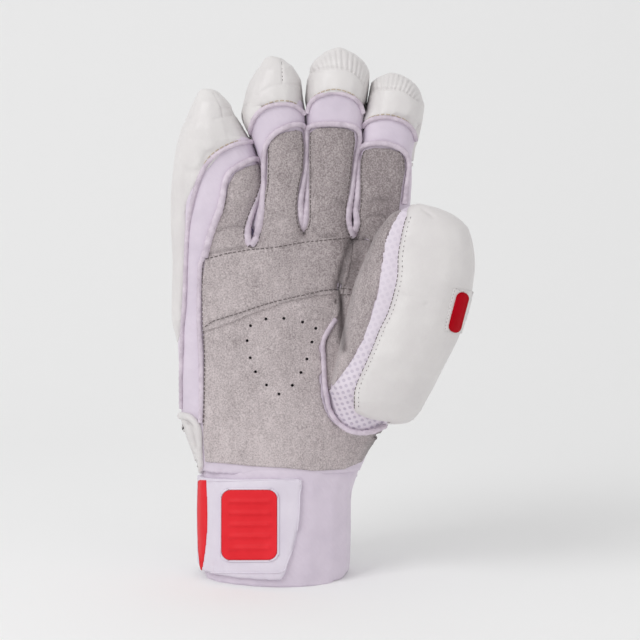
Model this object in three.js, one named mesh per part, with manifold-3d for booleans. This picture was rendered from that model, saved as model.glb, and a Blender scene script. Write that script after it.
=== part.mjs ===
// A right-hand cricket batting glove that stands on its cuff with the palm towards -Y.
// Millimetres, +Z up, the thumb towards +X, the cuff's lower edge at z = 0.
import * as THREE from "three";
import { mergeVertices } from "three/addons/utils/BufferGeometryUtils.js";
import Module from "manifold-3d";

const wasm = await Module();
wasm.setup();

// Overall sizes
const glove_height = 270;
const hand_width = 110;
const hand_depth = 40;
const cuff_height = 56;
const cuff_width = 77;
const cuff_depth = 52;
const thumb_length = 115;
const thumb_width = 50;
const thumb_depth = 46;

// Walls, pads and clearances
const gap = 0.3;
const fabric_wall = 2;
const cuff_wall = 2.6;
const finger_roll_pad = 14;
const back_roll_pad = 13;
const side_pad = 5.3;
const thumb_pad_front = 11;
const thumb_pad_side = 12.5;

// Trim
const binding_radius = 0.95;
const piping_radius = 0.8;
const strap_height = 49;
const strap_foot = 6.5;
const strap_thick = 2.2;
const patch_width = 27;
const patch_height = 33;
const patch_corner = 5;
const patch_rib = 2.2;
const label_width = 12;
const label_height = 19.5;
const pill_width = 5.6;
const pill_height = 17;
const trim_thick = 0.9;
const perforation = 1.4;

// Facets
const ring_sides = 16;
const tube_sides = 6;
const least_half = 0.4;
const far = 400;

const suede = new THREE.MeshStandardMaterial({ color: 0xaca49f, roughness: 0.95 });
const leather = new THREE.MeshStandardMaterial({ color: 0xe6e3e1, roughness: 0.45 });
const stretch_fabric = new THREE.MeshStandardMaterial({ color: 0xdcd4e4, roughness: 0.85 });
const mesh_fabric = new THREE.MeshStandardMaterial({ color: 0xe2d8e6, roughness: 0.9 });
const red_rubber = new THREE.MeshStandardMaterial({ color: 0xe02835, roughness: 0.5 });
const dark_red_rubber = new THREE.MeshStandardMaterial({ color: 0xb00018, roughness: 0.4 });

// A soft form is a stack of rounded sections. Its rows hold shares of the sizes in "by":
// up the height, left and right across, front and back in depth.
// "foot" and "head" round an end off by these lengths across, deep and high.
function form(by, rows, ends = {}) {
  const rise = rows.map((row) => by.base + row.up * by.high);
  const values = rows.flatMap((row) => [
    by.across + row.left * by.wide,
    by.across + row.right * by.wide,
    by.out + row.front * by.deep,
    by.out + row.back * by.deep,
  ]);
  const between = new THREE.CubicInterpolant(rise, values, 4, new Float64Array(4));
  return {
    low: rise[0],
    high: rise[rise.length - 1],
    foot: ends.foot,
    head: ends.head,
    square: ends.square ?? 2.6,
    at: (z) => [...between.evaluate(THREE.MathUtils.clamp(z, rise[0], rise[rise.length - 1]))],
  };
}

// The sections of a form from its low to its high end, grown outwards by "grow".
// A flat end moves out by "past".
function sections(shape, grow, steps, past) {
  const low = shape.low + (shape.foot ? shape.foot.high : 0);
  const high = shape.high - (shape.head ? shape.head.high : 0);
  const list = [];
  const put = (z, level, inset) => {
    const [left, right, front, back] = shape.at(level);
    list.push({
      z,
      x: (left + right) / 2,
      y: (front + back) / 2,
      wide: Math.max((right - left) / 2 + grow - inset.across, least_half),
      deep: Math.max((back - front) / 2 + grow - inset.deep, least_half),
    });
  };
  const rounded = (end, sign, from) => {
    const turns = [78, 42];
    const ordered = sign > 0 ? turns.reverse() : turns;
    ordered.forEach((degrees) => {
      const angle = THREE.MathUtils.degToRad(degrees);
      const inset = 1 - Math.cos(angle);
      const z = from + sign * Math.sin(angle) * (end.high + grow);
      put(z, from + sign * Math.sin(angle) * end.high, {
        across: inset * end.across,
        deep: inset * end.deep,
      });
    });
  };
  const none = { across: 0, deep: 0 };
  if (shape.foot) rounded(shape.foot, -1, low);
  for (let i = 0; i <= steps; i++) {
    const z = low + ((high - low) * i) / steps;
    const moved = (i === 0 && !shape.foot ? -past : 0) + (i === steps && !shape.head ? past : 0);
    put(z + moved, z, none);
  }
  if (shape.head) rounded(shape.head, 1, high);
  return list;
}

// One point of a section at an angle, on a curve between an ellipse and a rectangle.
function rim_point(section, square, angle) {
  const c = Math.cos(angle);
  const s = Math.sin(angle);
  return [
    section.x + section.wide * Math.sign(c) * Math.abs(c) ** (2 / square),
    section.y + section.deep * Math.sign(s) * Math.abs(s) ** (2 / square),
    section.z,
  ];
}

function solid_of(geometry) {
  const bare = geometry.clone();
  bare.deleteAttribute("normal");
  bare.deleteAttribute("uv");
  const merged = mergeVertices(bare, 1e-4);
  return new wasm.Manifold(
    new wasm.Mesh({
      numProp: 3,
      vertProperties: new Float32Array(merged.attributes.position.array),
      triVerts: new Uint32Array(merged.index.array),
    }),
  );
}

function loft(shape, grow = 0, steps = 4, past = grow) {
  const list = sections(shape, grow, steps, past);
  const points = [];
  const faces = [];
  list.forEach((section) => {
    for (let k = 0; k < ring_sides; k++) {
      points.push(...rim_point(section, shape.square, (k / ring_sides) * 2 * Math.PI));
    }
  });
  for (let i = 0; i + 1 < list.length; i++) {
    for (let k = 0; k < ring_sides; k++) {
      const a = i * ring_sides + k;
      const b = i * ring_sides + ((k + 1) % ring_sides);
      faces.push(a, b, b + ring_sides, a, b + ring_sides, a + ring_sides);
    }
  }
  const last = list.length - 1;
  const bottom = points.length / 3;
  points.push(list[0].x, list[0].y, list[0].z, list[last].x, list[last].y, list[last].z);
  for (let k = 0; k < ring_sides; k++) {
    const next = (k + 1) % ring_sides;
    faces.push(bottom, next, k, bottom + 1, last * ring_sides + k, last * ring_sides + next);
  }
  const geometry = new THREE.BufferGeometry();
  geometry.setAttribute("position", new THREE.Float32BufferAttribute(points, 3));
  geometry.setIndex(faces);
  return solid_of(geometry);
}

// A front view outline, grown outwards by "grow", cut through from one depth to another.
function prism(outline, from, to, grow = 0) {
  const points = outline.map(([x, z]) => new THREE.Vector2(x, z));
  if (THREE.ShapeUtils.isClockWise(points)) points.reverse();
  const moved = points.map((point, i) => {
    const before = points[(i + points.length - 1) % points.length];
    const after = points[(i + 1) % points.length];
    const along = after.clone().sub(before).normalize();
    return new THREE.Vector2(point.x + along.y * grow, point.y - along.x * grow);
  });
  const geometry = new THREE.ExtrudeGeometry(new THREE.Shape(moved), {
    depth: to - from,
    bevelEnabled: false,
  });
  geometry.rotateX(Math.PI / 2);
  geometry.translate(0, to, 0);
  return solid_of(geometry);
}

function slab(low, high) {
  const geometry = new THREE.BoxGeometry(far, far, high - low);
  geometry.translate(0, 0, (low + high) / 2);
  return solid_of(geometry);
}

function tube(points, radius, steps) {
  const section = new THREE.Shape();
  for (let k = 0; k < tube_sides; k++) {
    const angle = (k / tube_sides) * 2 * Math.PI;
    const place = [radius * Math.cos(angle), radius * Math.sin(angle)];
    if (k === 0) section.moveTo(...place);
    else section.lineTo(...place);
  }
  const path = new THREE.CatmullRomCurve3(points.map((p) => new THREE.Vector3(...p)));
  const geometry = new THREE.ExtrudeGeometry(section, { steps, extrudePath: path });
  return solid_of(geometry);
}

// A smooth line through front view points, closed or open.
function smooth_line(points, count, closed = false) {
  const vectors = points.map(([x, z]) => new THREE.Vector3(x, z, 0));
  const curve = new THREE.CatmullRomCurve3(vectors, closed, "centripetal");
  const line = curve.getSpacedPoints(count).map((p) => [p.x, p.y]);
  return closed ? line.slice(0, -1) : line;
}

// The point in front of a form at x and z, lifted off its surface along the section.
function front_point(shape, x, z, lift) {
  const [left, right, front, back] = shape.at(z);
  const centre = [(left + right) / 2, (front + back) / 2];
  const half = [(right - left) / 2, (back - front) / 2];
  const across = THREE.MathUtils.clamp((x - centre[0]) / half[0], -0.985, 0.985);
  const n = shape.square;
  const deep = -((1 - Math.abs(across) ** n) ** (1 / n));
  const slope = new THREE.Vector2(
    (Math.sign(across) * Math.abs(across) ** (n - 1)) / half[0],
    -(Math.abs(deep) ** (n - 1)) / half[1],
  ).normalize();
  return [
    centre[0] + across * half[0] + slope.x * lift,
    centre[1] + deep * half[1] + slope.y * lift,
    z,
  ];
}

function joined(solids) {
  return solids.reduce((whole, solid) => whole.add(solid));
}

function main_body(solid) {
  return solid.decompose().reduce((best, body) => (body.volume() > best.volume() ? body : best));
}

const glove = new THREE.Group();

function add(name, solid, material) {
  const { numProp, vertProperties, triVerts } = main_body(solid).getMesh();
  const places = new Float32Array((vertProperties.length / numProp) * 3);
  for (let i = 0; i < places.length / 3; i++) {
    places.set(vertProperties.subarray(i * numProp, i * numProp + 3), i * 3);
  }
  const geometry = new THREE.BufferGeometry();
  geometry.setAttribute("position", new THREE.BufferAttribute(places, 3));
  geometry.setIndex([...triVerts]);
  geometry.computeVertexNormals();
  const mesh = new THREE.Mesh(geometry, material);
  mesh.name = name;
  glove.add(mesh);
}

// The hand, from the cuff's upper edge to the slits between the fingers
const hand_foot_up = (cuff_height + gap) / glove_height;
const hand_by = { base: 0, high: glove_height, across: 0, wide: hand_width, out: 0, deep: hand_depth };
const hand_rows = [
  { up: hand_foot_up, left: -0.345, right: 0.385, front: -0.58, back: 0.58 },
  { up: 0.25, left: -0.372, right: 0.425, front: -0.58, back: 0.53 },
  { up: 0.32, left: -0.415, right: 0.465, front: -0.54, back: 0.45 },
  { up: 0.4, left: -0.436, right: 0.49, front: -0.49, back: 0.39 },
  { up: 0.5, left: -0.44, right: 0.515, front: -0.465, back: 0.36 },
  { up: 0.6, left: -0.436, right: 0.545, front: -0.46, back: 0.35 },
  { up: 0.632, left: -0.432, right: 0.55, front: -0.46, back: 0.35 },
];
const hand_head = { across: 6, deep: 7, high: 9 };
const hand = form(hand_by, hand_rows, { head: hand_head, square: 2.9 });

// The four fingers. root and tip are places across and root_wide and tip_wide widths, all shares
// of the hand's width. top is a share of the glove's height.
const fingers = [
  { name: "little", root: -0.253, tip: -0.277, root_wide: 0.334, tip_wide: 0.25, top: 0.883, back: 0.3 },
  { name: "ring", root: 0.015, tip: -0.006, root_wide: 0.194, tip_wide: 0.215, top: 0.942, back: 0.22 },
  { name: "middle", root: 0.235, tip: 0.269, root_wide: 0.214, tip_wide: 0.225, top: 0.957, back: 0.22 },
  { name: "index", root: 0.466, tip: 0.528, root_wide: 0.216, tip_wide: 0.21, top: 0.912, back: 0.22 },
];
const finger_foot = 0.55;
const finger_front = -0.46;

function finger_by(finger) {
  const base = finger_foot * glove_height;
  return { ...hand_by, base, high: finger.top * glove_height - base };
}

// A share along the finger, 0 at its foot, and how far it has gone over from root to tip there.
const finger_steps = [0, 0.25, 0.5, 0.75, 1];
const finger_bend = [0, 0.1, 0.3, 0.7, 1];

function finger_rows(finger, extra, front, back) {
  return finger_steps.map((up, i) => {
    const centre = finger.root + (finger.tip - finger.root) * finger_bend[i];
    const wide = finger.root_wide + (finger.tip_wide - finger.root_wide) * finger_bend[i];
    const half = wide / 2 + extra;
    return { up, left: centre - half, right: centre + half, front, back };
  });
}

const tip_round = { across: 8.5, deep: 9, high: 17 };
fingers.forEach((finger) => {
  const rows = finger_rows(finger, 0, finger_front, finger.back);
  finger.stall = form(finger_by(finger), rows, { head: tip_round, square: 2.7 });
});

// The thumb's stall, in shares of its own sizes, from beside the cuff's top
const thumb_by = {
  base: 0.277 * glove_height,
  high: thumb_length,
  across: 0.245 * hand_width,
  wide: thumb_width,
  out: 0,
  deep: thumb_depth,
};
const thumb_rows = [
  { up: 0, left: 0.1, right: 0.5, front: -0.55, back: 0 },
  { up: 0.1, left: 0.02, right: 0.6, front: -0.8, back: -0.02 },
  { up: 0.23, left: 0.01, right: 0.72, front: -0.93, back: -0.05 },
  { up: 0.4, left: 0.1, right: 0.92, front: -1.03, back: -0.12 },
  { up: 0.6, left: 0.2, right: 1.08, front: -1.07, back: -0.22 },
  { up: 0.76, left: 0.31, right: 1.12, front: -1.05, back: -0.36 },
  { up: 0.87, left: 0.44, right: 1.1, front: -1.0, back: -0.5 },
  { up: 0.98, left: 0.56, right: 1.04, front: -0.94, back: -0.56 },
];
const thumb_head = { across: 12, deep: 7, high: 13 };
const thumb = form(thumb_by, thumb_rows, { head: thumb_head, square: 2.3 });

// The soft shell: hand, fingers and thumb in one hollow that opens at the wrist
const outside = joined([loft(hand), ...fingers.map((finger) => loft(finger.stall)), loft(thumb)]);
const hollow = joined([
  loft(hand, -fabric_wall, 4, fabric_wall),
  ...fingers.map((finger) => loft(finger.stall, -fabric_wall)),
  loft(thumb, -fabric_wall),
]);
const shell = outside.subtract(hollow);

// Outlines in the front view, as shares of the hand's width and the glove's height
function drawn(points) {
  return points.map(([across, up]) => [across * hand_width, up * glove_height]);
}
const palm_edge = drawn([
  [-0.322, 0.222],
  [-0.33, 0.34],
  [-0.328, 0.41],
  [-0.335, 0.467],
  [-0.333, 0.53],
  [-0.325, 0.594],
  [-0.3, 0.65],
]);
const lower_seam = drawn([
  [-0.335, 0.467],
  [-0.185, 0.493],
  [-0.06, 0.512],
  [0.1, 0.525],
  [0.215, 0.538],
  [0.272, 0.538],
]);
const upper_seam = drawn([
  [-0.325, 0.594],
  [-0.21, 0.603],
  [-0.107, 0.611],
  [0.064, 0.619],
  [0.225, 0.626],
  [0.336, 0.63],
]);
const palm_foot = drawn([
  [-0.322, 0.222],
  [-0.11, 0.216],
  [0.06, 0.213],
  [0.23, 0.214],
  [0.366, 0.221],
  [0.44, 0.265],
]);
const thumb_crease = drawn([
  [0.336, 0.63],
  [0.31, 0.6],
  [0.272, 0.538],
  [0.251, 0.488],
  [0.216, 0.436],
  [0.216, 0.374],
  [0.224, 0.333],
]);

// On the thumb the outlines are shares of the thumb's own sizes
function drawn_on_thumb(points) {
  return points.map(([across, up]) => [
    thumb_by.across + across * thumb_width,
    thumb_by.base + up * thumb_length,
  ]);
}
const mesh_line = drawn_on_thumb([
  [-0.047, 0.16],
  [0.088, 0.249],
  [0.222, 0.352],
  [0.321, 0.437],
  [0.379, 0.519],
  [0.445, 0.617],
  [0.484, 0.714],
  [0.513, 0.815],
  [0.591, 0.911],
  [0.715, 0.97],
  [0.748, 1.04],
]);
const guard_line = drawn_on_thumb([
  [0.22, 0.124],
  [0.225, 0.216],
  [0.277, 0.279],
  [0.411, 0.38],
  [0.517, 0.503],
  [0.597, 0.615],
  [0.631, 0.751],
  [0.66, 0.876],
  [0.726, 0.95],
  [0.781, 1.04],
]);
const finger_fronts = {
  little: drawn([
    [-0.31, 0.62],
    [-0.286, 0.66],
    [-0.237, 0.685],
    [-0.219, 0.733],
    [-0.196, 0.751],
    [-0.115, 0.763],
    [-0.108, 0.745],
    [-0.11, 0.707],
    [-0.138, 0.652],
    [-0.13, 0.62],
  ]),
  ring: drawn([
    [-0.1, 0.62],
    [-0.066, 0.667],
    [-0.05, 0.733],
    [-0.048, 0.8],
    [-0.013, 0.822],
    [0.08, 0.829],
    [0.105, 0.8],
    [0.1, 0.733],
    [0.088, 0.667],
    [0.1, 0.64],
  ]),
  middle: drawn([
    [0.145, 0.64],
    [0.148, 0.669],
    [0.153, 0.733],
    [0.16, 0.811],
    [0.193, 0.835],
    [0.305, 0.835],
    [0.345, 0.811],
    [0.344, 0.775],
    [0.332, 0.733],
    [0.318, 0.669],
    [0.325, 0.64],
  ]),
  index: drawn([
    [0.38, 0.63],
    [0.382, 0.683],
    [0.394, 0.765],
    [0.41, 0.793],
    [0.44, 0.799],
    [0.515, 0.793],
    [0.558, 0.765],
    [0.563, 0.738],
    [0.558, 0.683],
    [0.545, 0.63],
  ]),
};

// The suede covers the front of the shell only as far back as this
const suede_back = -6;
const thumb_suede_back = -12;
const behind_thumb = -20.5;
const in_front = -150;
const patch_foot = drawn([
  [0.475, 0.3],
  [0.416, 0.284],
  [0.327, 0.282],
  [0.26, 0.3],
  [0.224, 0.333],
]);
const lower_outline = [
  ...palm_edge.slice(0, 4),
  ...smooth_line(lower_seam, 6).slice(1),
  ...thumb_crease.slice(3),
  ...patch_foot.slice(0, 4).reverse(),
  ...palm_foot.slice(1).reverse(),
];
const middle_outline = [
  ...palm_edge.slice(3, 6),
  ...smooth_line(upper_seam, 6).slice(1),
  ...thumb_crease.slice(1, 2),
  ...smooth_line(lower_seam, 6).slice(1).reverse(),
];
const finger_strip = [
  ...smooth_line(upper_seam, 6),
  ...drawn([
    [0.55, 0.632],
    [0.55, 0.64],
    [0.33, 0.64],
    [-0.31, 0.64],
  ]),
];
const suede_line = smooth_line(mesh_line, 9);
const guard_edge = smooth_line(guard_line, 8);
const thumb_outline = [...thumb_crease.slice(0, 6), ...suede_line];
const thumb_top_outline = [
  ...drawn([[0.336, 0.63]]),
  ...suede_line.filter((point) => point[1] > 0.63 * glove_height),
  ...drawn_on_thumb([
    [0.748, 1.134],
    [0.2, 1.134],
  ]),
];
const mesh_outline = [...suede_line, ...guard_edge.slice().reverse(), ...patch_foot.slice(0, 4)];

const front_regions = {
  palm_lower_panel: (grow) => prism(lower_outline, in_front, suede_back + grow, grow),
  palm_middle_panel: (grow) => prism(middle_outline, in_front, suede_back + grow, grow),
  palm_finger_panel: (grow) =>
    joined([
      prism(finger_strip, in_front, suede_back + grow, grow),
      ...Object.values(finger_fronts).map((outline) =>
        prism(smooth_line(outline, 16, true), in_front, suede_back + grow, grow),
      ),
    ]).subtract(loft(thumb, gap - grow)),
  thumb_suede: (grow) =>
    prism(thumb_outline, in_front, thumb_suede_back + grow, grow).add(
      prism(thumb_top_outline, in_front, behind_thumb + grow, grow),
    ),
  thumb_mesh: (grow) => prism(mesh_outline, in_front, thumb_suede_back + grow, grow),
};
const seam = gap / 2;
let fabric = shell;
Object.values(front_regions).forEach((region) => {
  fabric = fabric.subtract(region(seam).add(region(-seam)));
});

// Suede palm, with a heart of small holes in its lower panel
const hole_places = [
  [-0.117, 0.472],
  [-0.049, 0.484],
  [0.034, 0.486],
  [0.115, 0.478],
  [0.175, 0.467],
  [0.157, 0.442],
  [0.135, 0.411],
  [0.109, 0.387],
  [0.069, 0.363],
  [0.01, 0.347],
  [-0.045, 0.364],
  [-0.095, 0.389],
  [-0.119, 0.414],
  [-0.133, 0.445],
];
const hole_sides = 6;
const holes = drawn(hole_places).map(([x, z]) => {
  const hole = new THREE.CylinderGeometry(perforation / 2, perforation / 2, hand_depth, hole_sides);
  hole.translate(x, -hand_depth / 2, z);
  return solid_of(hole);
});
let uncut = shell;
Object.entries(front_regions).forEach(([name, region]) => {
  let panel = uncut.intersect(region(-seam));
  if (name === "palm_lower_panel") panel = panel.subtract(joined(holes));
  if (name === "palm_finger_panel") panel = panel.subtract(loft(thumb, gap));
  add(name, panel, name === "thumb_mesh" ? mesh_fabric : suede);
  uncut = uncut.subtract(region(seam).add(region(-seam)));
});

// Stretch fabric: a stall for each finger, the thumb's back and the back of the hand
const stall_line = 0.652 * glove_height;
const thumb_zone = loft(thumb);
const above = fabric.intersect(slab(stall_line + seam, far)).subtract(thumb_zone);
const above_bodies = above.decompose();
fingers.forEach((finger) => {
  const middle_of_stall = (finger.root + finger.tip) * 0.5 * hand_width;
  const near = (body) => {
    const box = body.boundingBox();
    return Math.abs((box.min[0] + box.max[0]) / 2 - middle_of_stall);
  };
  const stall = above_bodies.reduce((best, body) => (near(body) < near(best) ? body : best));
  add("stall_" + finger.name, stall, stretch_fabric);
});
const vent = drawn([
  [-0.43, 0.288],
  [-0.385, 0.272],
  [-0.37, 0.245],
  [-0.36, 0.226],
  [-0.378, 0.222],
  [-0.412, 0.256],
]);
const below = fabric.intersect(slab(0, stall_line - seam)).subtract(loft(thumb, gap));
add("hand_back", below.subtract(prism(vent, in_front, 0)), stretch_fabric);
add("thumb_back", fabric.intersect(thumb_zone), stretch_fabric);

// White leather finger caps. left and right are shares of the hand's width, the rest of the height:
// rim is the front edge at its middle, side at its ends, foot the edge at the back, top the tip.
const caps = {
  little: { left: -0.437, right: -0.15, top: 0.904, rim: 0.81, side: 0.79, foot: 0.76, knuckle: 0.667 },
  ring: { left: -0.14, right: 0.126, top: 0.963, rim: 0.88, side: 0.852, foot: 0.79, knuckle: 0.69 },
  middle: { left: 0.134, right: 0.402, top: 0.978, rim: 0.898, side: 0.872, foot: 0.805, knuckle: 0.695 },
  index: { left: 0.41, right: 0.656, top: 0.933, rim: 0.86, side: 0.836, foot: 0.77, knuckle: 0.68 },
};
const cap_front = -0.52;
const cap_back = 0.62;
const cap_head = { across: 12, deep: 14, high: 20 };

function cap_form(cap) {
  const base = cap.foot * glove_height;
  const by = { ...hand_by, base, high: cap.top * glove_height - base };
  const trim = 0.012;
  const rows = [
    { up: 0, left: cap.left + trim, right: cap.right - trim, front: cap_front, back: cap_back },
    { up: 0.35, left: cap.left, right: cap.right, front: cap_front, back: cap_back },
    { up: 0.7, left: cap.left, right: cap.right, front: cap_front, back: cap_back },
    { up: 1, left: cap.left + trim, right: cap.right - trim, front: cap_front, back: cap_back * 0.8 },
  ];
  return form(by, rows, { head: cap_head, square: 2.5 });
}

function cap_rim(cap) {
  const middle_of_cap = (cap.left + cap.right) / 2;
  return [
    [cap.left, cap.side],
    [(cap.left + middle_of_cap) / 2, (cap.side + 3 * cap.rim) / 4],
    [middle_of_cap, cap.rim],
    [(cap.right + middle_of_cap) / 2, (cap.side + 3 * cap.rim) / 4],
    [cap.right, cap.side],
  ];
}
const cap_split = 3;

// A piping lies on the stall just under the front edge of the cap
const piping_drop = piping_radius + 3 * gap;
function piping_tube(finger, rim, radius) {
  const points = rim.map(([x, z]) =>
    front_point(finger.stall, x, z - piping_drop, piping_radius + gap),
  );
  return tube(points, radius, 6);
}
["ring", "middle", "index"].forEach((name) => {
  const cap = caps[name];
  const finger = fingers.find((one) => one.name === name);
  const below_rim = drawn([
    [cap.left - 0.1, cap.side],
    ...cap_rim(cap),
    [cap.right + 0.1, cap.side],
    [cap.right + 0.1, cap.foot - 0.1],
    [cap.left - 0.1, cap.foot - 0.1],
  ]);
  const solid = loft(cap_form(cap), 0, 3)
    .subtract(loft(finger.stall, gap))
    .subtract(prism(below_rim, in_front, cap_split))
    .subtract(piping_tube(finger, drawn(cap_rim(cap)), piping_radius + gap));
  add("tip_cap_" + name, solid, leather);
});

// The little finger's cap runs on down the hand's outer edge as one long pad
const bar_low = 0.426;
const bar_by = { ...hand_by, base: bar_low * glove_height, high: 0.39 * glove_height };
const bar_out = side_pad / hand_width;
const bar_rows = [
  { up: 0, left: -0.44 - bar_out * 0.5, right: -0.33, front: -0.1, back: 0.45 },
  { up: 0.15, left: -0.44 - bar_out, right: -0.32, front: -0.22, back: 0.55 },
  { up: 0.6, left: -0.44 - bar_out, right: -0.32, front: -0.26, back: 0.6 },
  { up: 0.85, left: -0.424 - bar_out, right: -0.31, front: -0.32, back: 0.6 },
  { up: 1, left: -0.395 - bar_out, right: -0.3, front: -0.4, back: 0.6 },
];
const bar = form(bar_by, bar_rows, { foot: { across: 4, deep: 10, high: 14 }, square: 2.5 });
const pad_rim = drawn([
  [-0.1, 0.805],
  [-0.14, 0.81],
  [-0.207, 0.814],
  [-0.26, 0.801],
  [-0.324, 0.79],
  [-0.355, 0.757],
  [-0.38, 0.72],
  [-0.405, 0.666],
  [-0.42, 0.568],
  [-0.437, 0.456],
  [-0.45, 0.4],
]);
const inside_rim = [...pad_rim, ...drawn([[-0.1, 0.4]])];
const little = fingers[0];
const little_cap = loft(cap_form(caps.little), 0, 3).add(loft(bar));
add(
  "little_side_pad",
  little_cap
    .subtract(loft(little.stall, gap))
    .subtract(loft(hand, gap))
    .subtract(prism(inside_rim, in_front, cap_split))
    .subtract(piping_tube(little, pad_rim.slice(1, 7), piping_radius + gap)),
  leather,
);

// Padded rolls on the backs of the fingers
function part_of(shape, low, high, end) {
  return { ...shape, low: low * glove_height, high: high * glove_height, foot: end, head: end };
}
const roll_foot = 0.586;
const beside_side_pad = -0.31;
const roll_gap = 0.004;
const roll_end = { across: 2, deep: 7, high: 7 };
const hand_and_fingers = joined([
  loft(hand, gap),
  ...fingers.map((finger) => loft(finger.stall, gap)),
]);
fingers.forEach((finger) => {
  const cap = caps[finger.name];
  const back = finger.back + finger_roll_pad / hand_depth;
  const rows = finger_rows(finger, -roll_gap, 0.02, back);
  if (finger.name === "little") rows.forEach((row) => (row.left = beside_side_pad));
  const whole = form(finger_by(finger), rows, { square: 2.6 });
  const spans = {
    middle: [cap.knuckle + roll_gap, cap.foot - roll_gap],
    root: [roll_foot + roll_gap, cap.knuckle],
  };
  Object.entries(spans).forEach(([place, [low, high]]) => {
    const roll = loft(part_of(whole, low, high, roll_end), 0, 1);
    const clear = finger.name === "little" ? roll.subtract(little_cap) : roll;
    add("roll_" + finger.name + "_" + place, clear.subtract(hand_and_fingers), leather);
  });
});

// Padded rolls across the back of the hand, and the pad over the wrist
const back_out = back_roll_pad / hand_depth;
const back_rows = hand_rows.map((row) => ({
  up: row.up,
  left: beside_side_pad,
  right: row.right - 0.02,
  front: 0.02,
  back: row.back + back_out,
}));
const back_form = form(hand_by, back_rows, { square: 3.2 });
const back_end = { across: 4, deep: 8, high: 8 };
const back_spans = {
  wrist_pad: [0.214, 0.31],
  back_roll_low: [0.314, 0.4],
  back_roll_middle: [0.404, 0.49],
  back_roll_high: [0.494, 0.582],
};
Object.entries(back_spans).forEach(([name, [low, high]]) => {
  const roll = loft(part_of(back_form, low, high, back_end), 0, 1);
  add(name, roll.subtract(hand_and_fingers), leather);
});

// The thumb's guard, a thick pad over its outer and front side
const guard_rows = thumb_rows.slice(1).map((row) => ({
  ...row,
  right: row.right + thumb_pad_side / thumb_width,
  front: row.front - thumb_pad_front / thumb_depth,
  back: row.back + 0.02,
}));
const guard_foot = { across: 12, deep: 8, high: 11 };
const guard_head = { across: 14, deep: 10, high: 15 };
const guard_by = { ...thumb_by, high: thumb_by.high * 1.015 };
const guard = form(guard_by, guard_rows, { foot: guard_foot, head: guard_head, square: 2.4 });
const guard_back = -15;
const left_of_guard = [
  ...guard_edge,
  ...drawn_on_thumb([
    [0.781, 1.228],
    [-0.539, 1.228],
    [-0.539, -0.181],
    [0.22, -0.181],
  ]),
];
const whole_view = drawn([
  [-1, 0],
  [1, 0],
  [1, 1],
  [-1, 1],
]);
const guard_pad = loft(guard)
  .subtract(loft(thumb, gap))
  .subtract(prism(left_of_guard, in_front, far))
  .subtract(prism(whole_view, guard_back, far));
add("thumb_pad", guard_pad.subtract(hand_and_fingers), leather);

// Trim on the thumb's guard: a plain label with a small raised pill, both tilted
const label_place = [0.782 * hand_width, 0.516 * glove_height];
const label_tilt = -0.2;
function tilted_box(centre, wide, high, tilt) {
  return [
    [-wide / 2, -high / 2],
    [wide / 2, -high / 2],
    [wide / 2, high / 2],
    [-wide / 2, high / 2],
  ].map(([x, z]) => [centre[0] + x - z * tilt, centre[1] + z]);
}
function layer_on(shape, from, thick) {
  return loft(shape, from + thick).subtract(loft(shape, from));
}
const label_outline = tilted_box(label_place, label_width, label_height, label_tilt);
const label_zone = prism(label_outline, in_front, guard_back * 2);
add("thumb_label", layer_on(guard, gap, trim_thick).intersect(label_zone), leather);
const pill_outline = smooth_line(tilted_box(label_place, pill_width, pill_height, label_tilt), 16, true);
const pill_zone = prism(pill_outline, in_front, guard_back * 2);
const on_label = 2 * gap + trim_thick;
add("thumb_pill", layer_on(guard, on_label, trim_thick).intersect(pill_zone), dark_red_rubber);

// Rolled bindings round the finger fronts, and the pipings under the caps
fingers.forEach((finger) => {
  const outline = finger_fronts[finger.name].filter((point) => point[1] > stall_line);
  const points = outline.map(([x, z]) => front_point(finger.stall, x, z, binding_radius + gap));
  const binding = tube(points, binding_radius, 11).subtract(hand_and_fingers);
  add("binding_" + finger.name, binding, stretch_fabric);
  const rim = finger.name === "little" ? pad_rim.slice(1, 7) : drawn(cap_rim(caps[finger.name]));
  const piping = piping_tube(finger, rim, piping_radius).subtract(hand_and_fingers);
  add("piping_" + finger.name, piping, stretch_fabric);
});

// The cuff, a knitted tube, and the strap round it
const cuff_by = { base: 0, high: cuff_height, across: -0.5, wide: cuff_width, out: 0, deep: cuff_depth };
const hand_foot = hand_rows[0];
const cuff_rows = [
  { up: 0, left: -0.475, right: 0.475, front: -0.47, back: 0.47 },
  { up: 0.12, left: -0.495, right: 0.485, front: -0.48, back: 0.48 },
  { up: 0.6, left: -0.498, right: 0.488, front: -0.47, back: 0.47 },
  {
    up: 1,
    left: (hand_foot.left * hand_width - cuff_by.across) / cuff_width,
    right: (hand_foot.right * hand_width - cuff_by.across) / cuff_width,
    front: (hand_foot.front * hand_depth) / cuff_depth,
    back: (hand_foot.back * hand_depth) / cuff_depth,
  },
];
const cuff = form(cuff_by, cuff_rows, { square: 2.5 });
add("cuff", loft(cuff).subtract(loft(cuff, -cuff_wall, 4, cuff_wall)), stretch_fabric);

const tab_end = [
  [0.12, 1.02],
  [0.12, 0.93],
  [0.107, 0.64],
  [0.08, 0.42],
  [0.034, 0.1],
  [0.03, 0.05],
].map(([across, up]) => [across * hand_width, up * cuff_height]);
const beyond_tab = [...tab_end, [hand_width, 0], [hand_width, 2 * cuff_height]];
const strap_end = 4;
const strap = layer_on(cuff, gap, strap_thick)
  .intersect(slab(strap_foot, strap_foot + strap_height - gap))
  .subtract(prism(beyond_tab, in_front, strap_end));
add("strap", strap, leather);

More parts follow.
